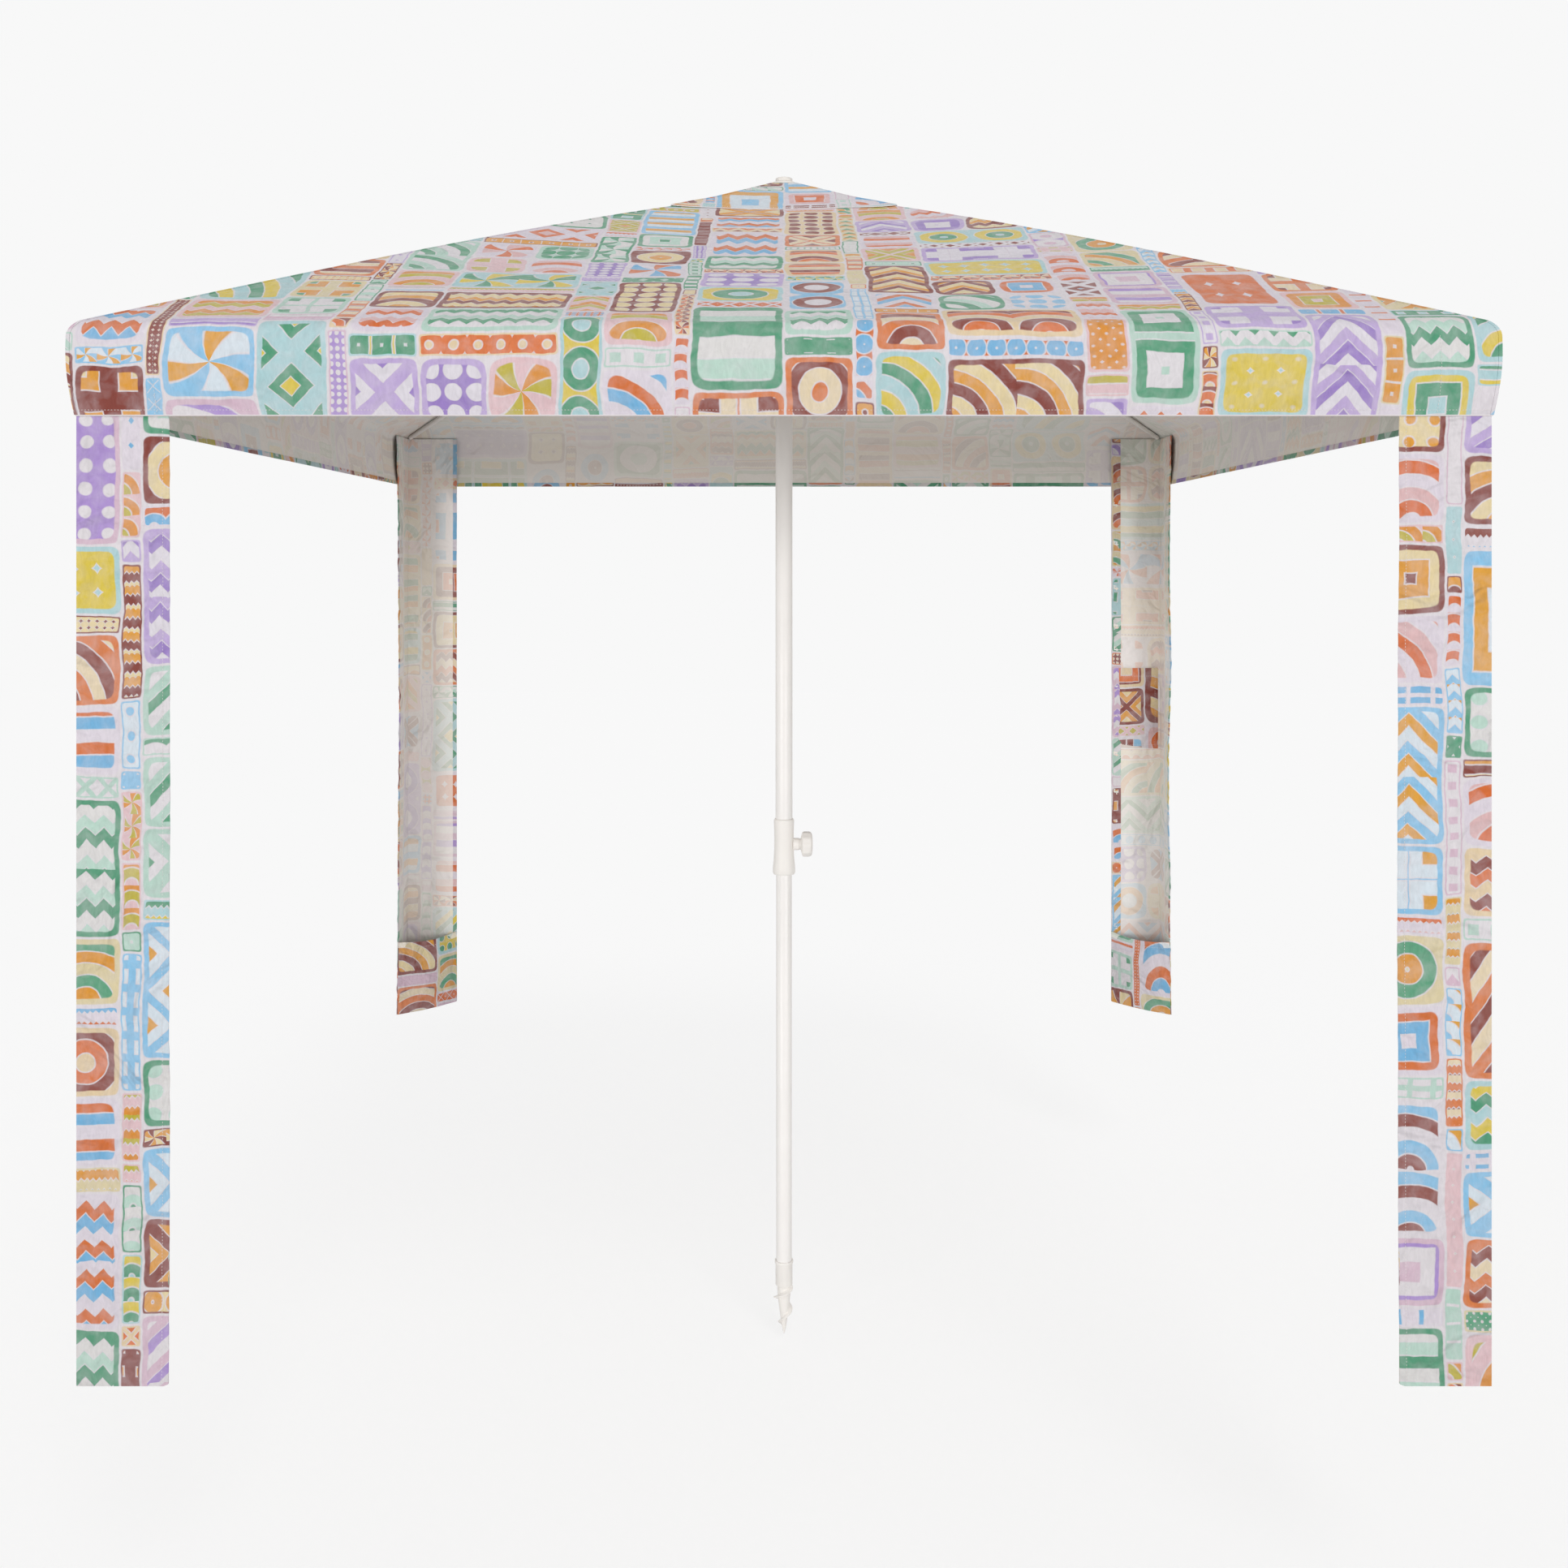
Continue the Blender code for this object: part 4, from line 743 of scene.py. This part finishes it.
for side in range(4):
    corner = cornerAcross(side, 1)[0]
    nextSide = (side + 1) % 4
    for label, line, isCap in (("hip_seam", path[:-4], False), ("cap_seam", capPath[:-4], True)):
        grids = [seamGrid(side, 1, line, isCap)]
        rows, places, finishes = seamGrid(nextSide, -1, line, isCap)
        grids.append(([row[::-1] for row in rows], [row[::-1] for row in places], finishes))
        seam = sheetMesh(f"{label}_{corner}", grids, clothLook["thickness"])
        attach(seam, f"rib_{corner}")
print("hip seams made")


# middle of the vent cap, which the finial's washer holds down
crownPatch = {"half": 0.0305, "hole": 0.0075, "z": 2.3018}


def patchMesh(look):
    rows, places = [], []
    for i in range(9):
        row = []
        for j in range(33):
            angle = 2 * math.pi * j / 32
            unit = Vector((math.cos(angle), math.sin(angle), 0))
            square = 1 / max(abs(unit.x), abs(unit.y))
            radius = look["hole"] + (look["half"] * square - look["hole"]) * i / 8
            row.append(unit * radius + up * look["z"])
        rows.append(row)
        places.append([(p.x, p.y) for p in row])
    return rows, places, [0] * 9


patch = sheetMesh("cap_cloth_middle", [patchMesh(crownPatch)], clothLook["thickness"])
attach(patch, "upper_pole")


# legs, sand pouches and stow pocket
legLook = {
    "half": 1.1905,
    "wing": 0.155,
    "top": 1.782,
    "wave": 0.008,
    "waveScales": (2.3, 6.0),  # waves per metre, long and short
    "waveLean": 0.7,  # and how far they lean inward
    "pucker": 0.004,
    "puckerScale": 42.0,
    "puckerReach": 0.03,
    "heldEnd": 0.04,  # puckers fade over this length at both ends
    "round": 0.006,  # radius of the lower corners
    "printFrom": 9.0,
    "printStep": (0.73, 0.31),  # every leg takes another part of the print
    "rows": 230,
    "columns": 18,
    "foldedShare": 0.28,
    "foldDrop": 0.04,  # metres
    "wideHem": 0.030,  # on the free edge of the right rear leg that faces the rear
}


def turned(point, quarter):
    return Matrix.Rotation(quarter * math.pi / 2, 3, "Z") @ point


def foldWithLeg(corner, pieces):
    for each in pieces:
        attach(each, f"leg_{corner}")
        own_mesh(each)


def legPath(look, quarter):
    # plan of the right rear leg, from one free edge round the corner to the other
    half, free = look["half"], look["half"] - look["wing"]
    steps = look["columns"]
    wing = [Vector((half, half - (half - free) * i / steps)) for i in range(steps + 1)]
    first = turnHem(wing, Vector((-1, 0)), clothLook)[::-1]
    second = [Vector((p.y, p.x)) for p in first[::-1]]
    if quarter == 0:
        second[-1].x = free + look["wideHem"]
    return first + second[1:]


def legRows(quarter, look):
    path = legPath(look, quarter)
    lengths = alongPath(path)
    middle = lengths[3 + look["columns"]]
    long, short = look["waveScales"]
    across, down = (step * quarter for step in look["printStep"])
    seed = quarter * 4.1
    rows, places = [], []
    for i in range(look["rows"] + 1):
        row = []
        for point, far in zip(path, lengths):
            fromEdge = look["wing"] - look["half"] + min(point.x, point.y)
            beyond = max(0.0, look["round"] - fromEdge)
            foot = look["round"] - math.sqrt(look["round"] ** 2 - beyond ** 2)
            z = foot + (look["top"] - foot) * (1 - i / look["rows"])
            reach = 1 - fromEdge / look["wing"]
            hang = math.sin(math.pi * min(1.0, z / look["top"])) * reach
            way = 1 if far > middle else -1
            wave = noise.noise(Vector((z * long, seed, way * 2.0)))
            wave += 0.5 * noise.noise(Vector((z * short, seed, way * 3.0 + reach)))
            shift = (wave - look["waveLean"]) * look["wave"] * hang
            near = max(0.0, 1 - abs(fromEdge - clothLook["hem"]) / look["puckerReach"])
            slanting = z * look["puckerScale"] + fromEdge * 30
            gather = noise.noise(Vector((slanting, seed, way * 7.0)))
            held = min(1.0, z / look["heldEnd"], (look["top"] - z) / look["heldEnd"])
            shift += (gather - 0.3) * look["pucker"] * near * held
            x = point.x + (shift if way < 0 else 0)
            y = point.y + (shift if way > 0 else 0)
            row.append(turned(Vector((x, y, z)), quarter))
        rows.append(row)
        start = across + look["printFrom"]
        places.append([(far + start, p.z + down) for far, p in zip(lengths, row)])
    return rows, places, [0] * len(rows), path, lengths


for quarter, corner in enumerate(corners):
    rows, places, finishes, plan, lengths = legRows(quarter, legLook)
    grids = [(rows, places, finishes)]
    leg = sheetMesh(f"leg_cloth_{corner}", grids, clothLook["thickness"], canvas=slackCanvas)
    lines = []
    # places in the plan just inside the two hems, of which one is wider on the first leg
    for index in (4, len(plan) - (5 if quarter else 7)):
        line = []
        for row in rows[:-1]:
            edge, inner = row[index], row[index + (1 if index < 10 else -1)]
            at = edge.lerp(inner, 0.35)
            centreLine = Vector((at.x, at.y, 0)).normalized()
            line.append(at + centreLine * clothLook["proud"])
        lines.append(line)
    thread = stitches(f"leg_cloth_{corner}_stitches", lines, clothLook)
    foldWithLeg(corner, (leg, thread))
    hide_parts(f"leg_{corner}")

pouchLook = {
    "height": 0.225,
    "bulge": 0.016,
    "columns": 28,
    "rows": 24,
    "sag": 0.010,
    "inset": 0.0046,
    "clear": 0.0038,  # from the outside of the leg to the pouch's ends
    "floor": 0.0016,
    "floorShares": (0.12, 0.5, 0.98),  # rows of the floor, from the corner out
    "wallFrom": 0.003,
    "hem": 0.018,
    "crumple": 0.0022,
    "flat": (0.225, 0.36),
    "flatArea": 0.066,  # with the floor, less the cut corners
}


def pouchRows(quarter, look):
    corner = legLook["half"] - look["clear"]
    reach = legLook["wing"] - look["inset"]
    low, top, fold = look["wallFrom"], look["height"], clothLook["fold"]
    # each level is (height, share of the reach, how far behind the face)
    levels = [(look["floor"], share, 0.0) for share in look["floorShares"]]
    levels += [(low + (top - low) * i / look["rows"], 1.0, 0.0) for i in range(look["rows"] + 1)]
    levels += [(top - 0.0004, 1.0, fold), (top - look["hem"], 1.0, 2 * fold)]
    rows, places = [], []
    for z, share, behind in levels:
        row, spots = [], []
        for j in range(look["columns"] + 1):
            t = j / look["columns"]
            middle = math.sin(math.pi * t)
            full = 0.6 + 0.4 * math.sin(math.pi * min(1.0, 1.1 * z / look["height"]))
            crease = noise.noise(Vector((t * 5.0, z * 22.0, quarter * 2.7)))
            belly = (look["bulge"] * full + crease * look["crumple"]) * middle / math.sqrt(2)
            dip = look["sag"] * middle * (z / look["height"]) ** 2
            x = corner - share * (reach * (1 - t) + belly) + behind * middle
            y = corner - share * (reach * t + belly) + behind * middle
            row.append(turned(Vector((x, y, z - dip)), quarter))
            spots.append((t * 0.24 + quarter * 1.9 + 20.0, z + (share - 1) * 0.1 - behind))
        rows.append(row)
        places.append(spots)
    return rows, places, [0] * len(rows)


for quarter, corner in enumerate(corners):
    grid = pouchRows(quarter, pouchLook)
    pouch = sheetMesh(f"sand_pouch_{corner}", [grid], clothLook["thickness"], True, slackCanvas)
    below = round((1 - pouchLook["hem"] / pouchLook["height"]) * pouchLook["rows"])
    inward = Vector((-1, -1, 0)).normalized()
    lift = turned(inward, quarter) * clothLook["proud"]
    line = [p + lift for p in grid[0][3 + below][1:-1]]
    thread = stitches(f"sand_pouch_{corner}_stitches", [line], clothLook)
    foldWithLeg(corner, (pouch, thread))
    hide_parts(f"sand_pocket_{corner}")

stowLook = {
    "bottom": 0.803,
    "height": 0.255,
    "width": 0.142,
    "depth": 0.008,
    "columns": 14,
    "rows": 20,
    "flat": (0.156, 0.267),  # with its seams and hems
}


def stowRows(look):
    face = legLook["half"] - 3 * clothLook["thickness"]
    middle = legLook["half"] - legLook["wing"] / 2
    rows, places = [], []
    for i in range(look["rows"] + 1):
        v = i / look["rows"]
        row, spots = [], []
        for j in range(look["columns"] + 1):
            t = j / look["columns"]
            out = look["depth"] * min(1.0, 6 * t, 6 * (1 - t)) * min(1.0, 8 * v)
            x = middle + look["width"] * (0.5 - t)
            row.append(Vector((x, face - out, look["bottom"] + look["height"] * v)))
            spots.append((x + 30.0, v * look["height"]))
        rows.append(row)
        places.append(spots)
    return rows, places, [0] * len(rows)


grid = stowRows(stowLook)
stow = sheetMesh("stow_pocket_cloth", [grid], clothLook["thickness"], canvas=slackCanvas)
rows = grid[0]
lift = Vector((0, -clothLook["proud"], 0))
lines = [[row[i] + lift for row in rows[:-2]] for i in (1, -2)]
lines += [[p + lift for p in rows[i][1:-1]] for i in (1, -3)]
thread = stitches("stow_pocket_stitches", lines, clothLook)
foldWithLeg("rear_right", (stow, thread))
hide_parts("stow_pocket")
print("legs and pockets made")


# rigid pieces: smooth copies of the CAD solids, with their finishes
finishes = {
    "coated": (coatedAluminium, "coated_aluminium"),
    "plastic": (mouldedPlastic, "white_plastic"),
    "sunned": (sunnedPlastic, "white_plastic"),
    "brass": (turnedBrass, "brass"),
    "steel": (zincSteel, "zinc_steel"),
}


rigidLook = {
    "weld": 0.000004,
    "flat": 1,  # degrees: faces that lie closer to one plane are joined
    "edge": 0.0003,  # width of the soft edges
    "sharp": 32,
    "leftSharp": "button_spring",
    "well": (0.0, -0.0298, 1.8541),  # inner end of the button's spring
    "pressedShare": 0.68,
}


def finishOf(node):
    if node == "clamp_insert":
        return "brass"
    # the finial gets the plastic greyed with painted shade
    if node.startswith("finial"):
        return "sunned"
    if node.startswith(("crown_pin", "clamp_stud", "button_spring")):
        return "steel"
    if node.startswith(("rib_tip", "runner", "guide_plug", "ground_screw", "clamp_", "crown_hub")):
        return "plastic"
    return "coated"


def smoothCopy(node, body):
    source = frame["nodes"][node]
    made = bpy.data.objects.new(f"{node}_finish", source.data.copy())
    bpy.context.scene.collection.objects.link(made)
    shape = bmesh.new()
    shape.from_mesh(made.data)
    bmesh.ops.remove_doubles(shape, verts=shape.verts, dist=rigidLook["weld"])
    flat = math.radians(rigidLook["flat"])
    bmesh.ops.dissolve_limit(shape, angle_limit=flat, verts=shape.verts, edges=shape.edges)
    shape.to_mesh(made.data)
    shape.free()
    finish, slotName = finishes[finishOf(node)]
    made.data.materials.clear()
    made.data.materials.append(finish)
    if not node.startswith(rigidLook["leftSharp"]):
        soft = made.modifiers.new("softEdges", "BEVEL")
        soft.width = rigidLook["edge"]
        soft.segments = 2
        soft.angle_limit = math.radians(rigidLook["sharp"])
        soft.harden_normals = True
    settle(made, rigidLook["sharp"])
    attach(made, body)
    if node == "button_spring":
        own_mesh(made)
    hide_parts(node)
    return made


softNodes = ("roof_", "valance_", "vent_cap_", "leg_", "sand_pocket_", "stow_pocket")
for body, members in frame["record"]["behaviour"]["bodies"].items():
    for node in members:
        if not node.startswith(softNodes):
            smoothCopy(node, body)
print("rigid pieces finished")


# studio
studio = {
    "floorZ": -0.495,
    "floorSize": 40.0,
    "floorWhite": "#F8F8F8",
    "floorBounce": "#EDEDED",
    "floorShade": "#A6A6A6",  # the part of the floor that takes shadows
    "worldLight": 0.62,
    "lamps": {  # strength, spread, and turns about X, Y and Z
        "key": (0.36, 0.35, (42, 8, 8)),
        "fillLeft": (0.97, 0.3, (86.5, 0, -34)),
        "fillRight": (0.8, 0.3, (86.5, 0, 26)),
    },
    "cameraPlace": (0.0, -3.887, 1.379),
    "focalPixels": 1975.0,
    "horizonRow": 698.0,
    "imageSize": 1932,
}


def seenNode(tree):
    # what the camera sees, also in reflections and through clear things
    paths = addNode(tree, "ShaderNodeLightPath").node.outputs
    seen = mathNode(tree, "MAXIMUM", paths["Is Camera Ray"], paths["Is Glossy Ray"])
    return mathNode(tree, "MAXIMUM", seen, paths["Is Transmission Ray"])


def floorMaterial(look):
    made, tree = newMaterial("studioFloorPaper")
    seen = seenNode(tree)
    lit = addNode(tree, "ShaderNodeBsdfDiffuse", {0: hexColour(look["floorBounce"])})
    white = hexColour(look["floorWhite"])
    shade = hexColour(look["floorShade"])
    # the glow makes up what the lamps leave short of white
    falling = look["worldLight"]
    for strength, spread, turns in look["lamps"].values():
        steep = math.cos(math.radians(turns[0])) * math.cos(math.radians(turns[1]))
        falling += strength * steep / math.pi
    glow = addNode(tree, "ShaderNodeEmission", {0: white, 1: 1 - shade[0] * falling / white[0]})
    shaded = addNode(tree, "ShaderNodeBsdfDiffuse", {0: shade})
    both = addNode(tree, "ShaderNodeAddShader", {0: glow, 1: shaded})
    shown = addNode(tree, "ShaderNodeMixShader", {0: seen, 1: lit, 2: both})
    addNode(tree, "ShaderNodeOutputMaterial", {"Surface": shown})
    return made


half = studio["floorSize"] / 2
mesh = bpy.data.meshes.new("floor")
square = [(-half, -half), (half, -half), (half, half), (-half, half)]
mesh.from_pydata([(x, y, studio["floorZ"]) for x, y in square], [], [(0, 1, 2, 3)])
floor = bpy.data.objects.new("floor", mesh)
bpy.context.scene.collection.objects.link(floor)
mesh.materials.append(floorMaterial(studio))

world = bpy.data.worlds.new("studioWorld")
bpy.context.scene.world = world
world.use_nodes = True
tree = world.node_tree
tree.nodes.clear()
seen = seenNode(tree)
plain = addNode(tree, "ShaderNodeBackground", [(1, 1, 1, 1), studio["worldLight"]])
backdrop = addNode(tree, "ShaderNodeBackground", [hexColour(studio["floorWhite"]), 1.0])
mixed = addNode(tree, "ShaderNodeMixShader", {0: seen, 1: plain, 2: backdrop})
addNode(tree, "ShaderNodeOutputWorld", {"Surface": mixed})

for name, (strength, spread, turns) in studio["lamps"].items():
    lamp = bpy.data.lights.new(f"{name}Lamp", "SUN")
    lamp.energy = strength
    lamp.angle = spread
    stand = bpy.data.objects.new(f"{name}Lamp", lamp)
    stand.rotation_euler = [math.radians(turn) for turn in turns]
    bpy.context.scene.collection.objects.link(stand)

lens = bpy.data.cameras.new("photoCamera")
lens.sensor_width = 36.0
lens.lens = studio["focalPixels"] * lens.sensor_width / studio["imageSize"]
lens.shift_y = (studio["horizonRow"] - studio["imageSize"] / 2) / studio["imageSize"]
camera = bpy.data.objects.new("photoCamera", lens)
camera.location = studio["cameraPlace"]
camera.rotation_euler = (math.pi / 2, 0, 0)
bpy.context.scene.collection.objects.link(camera)
bpy.context.scene.camera = camera
bpy.context.scene.view_settings.view_transform = "Standard"

print("scene ready")
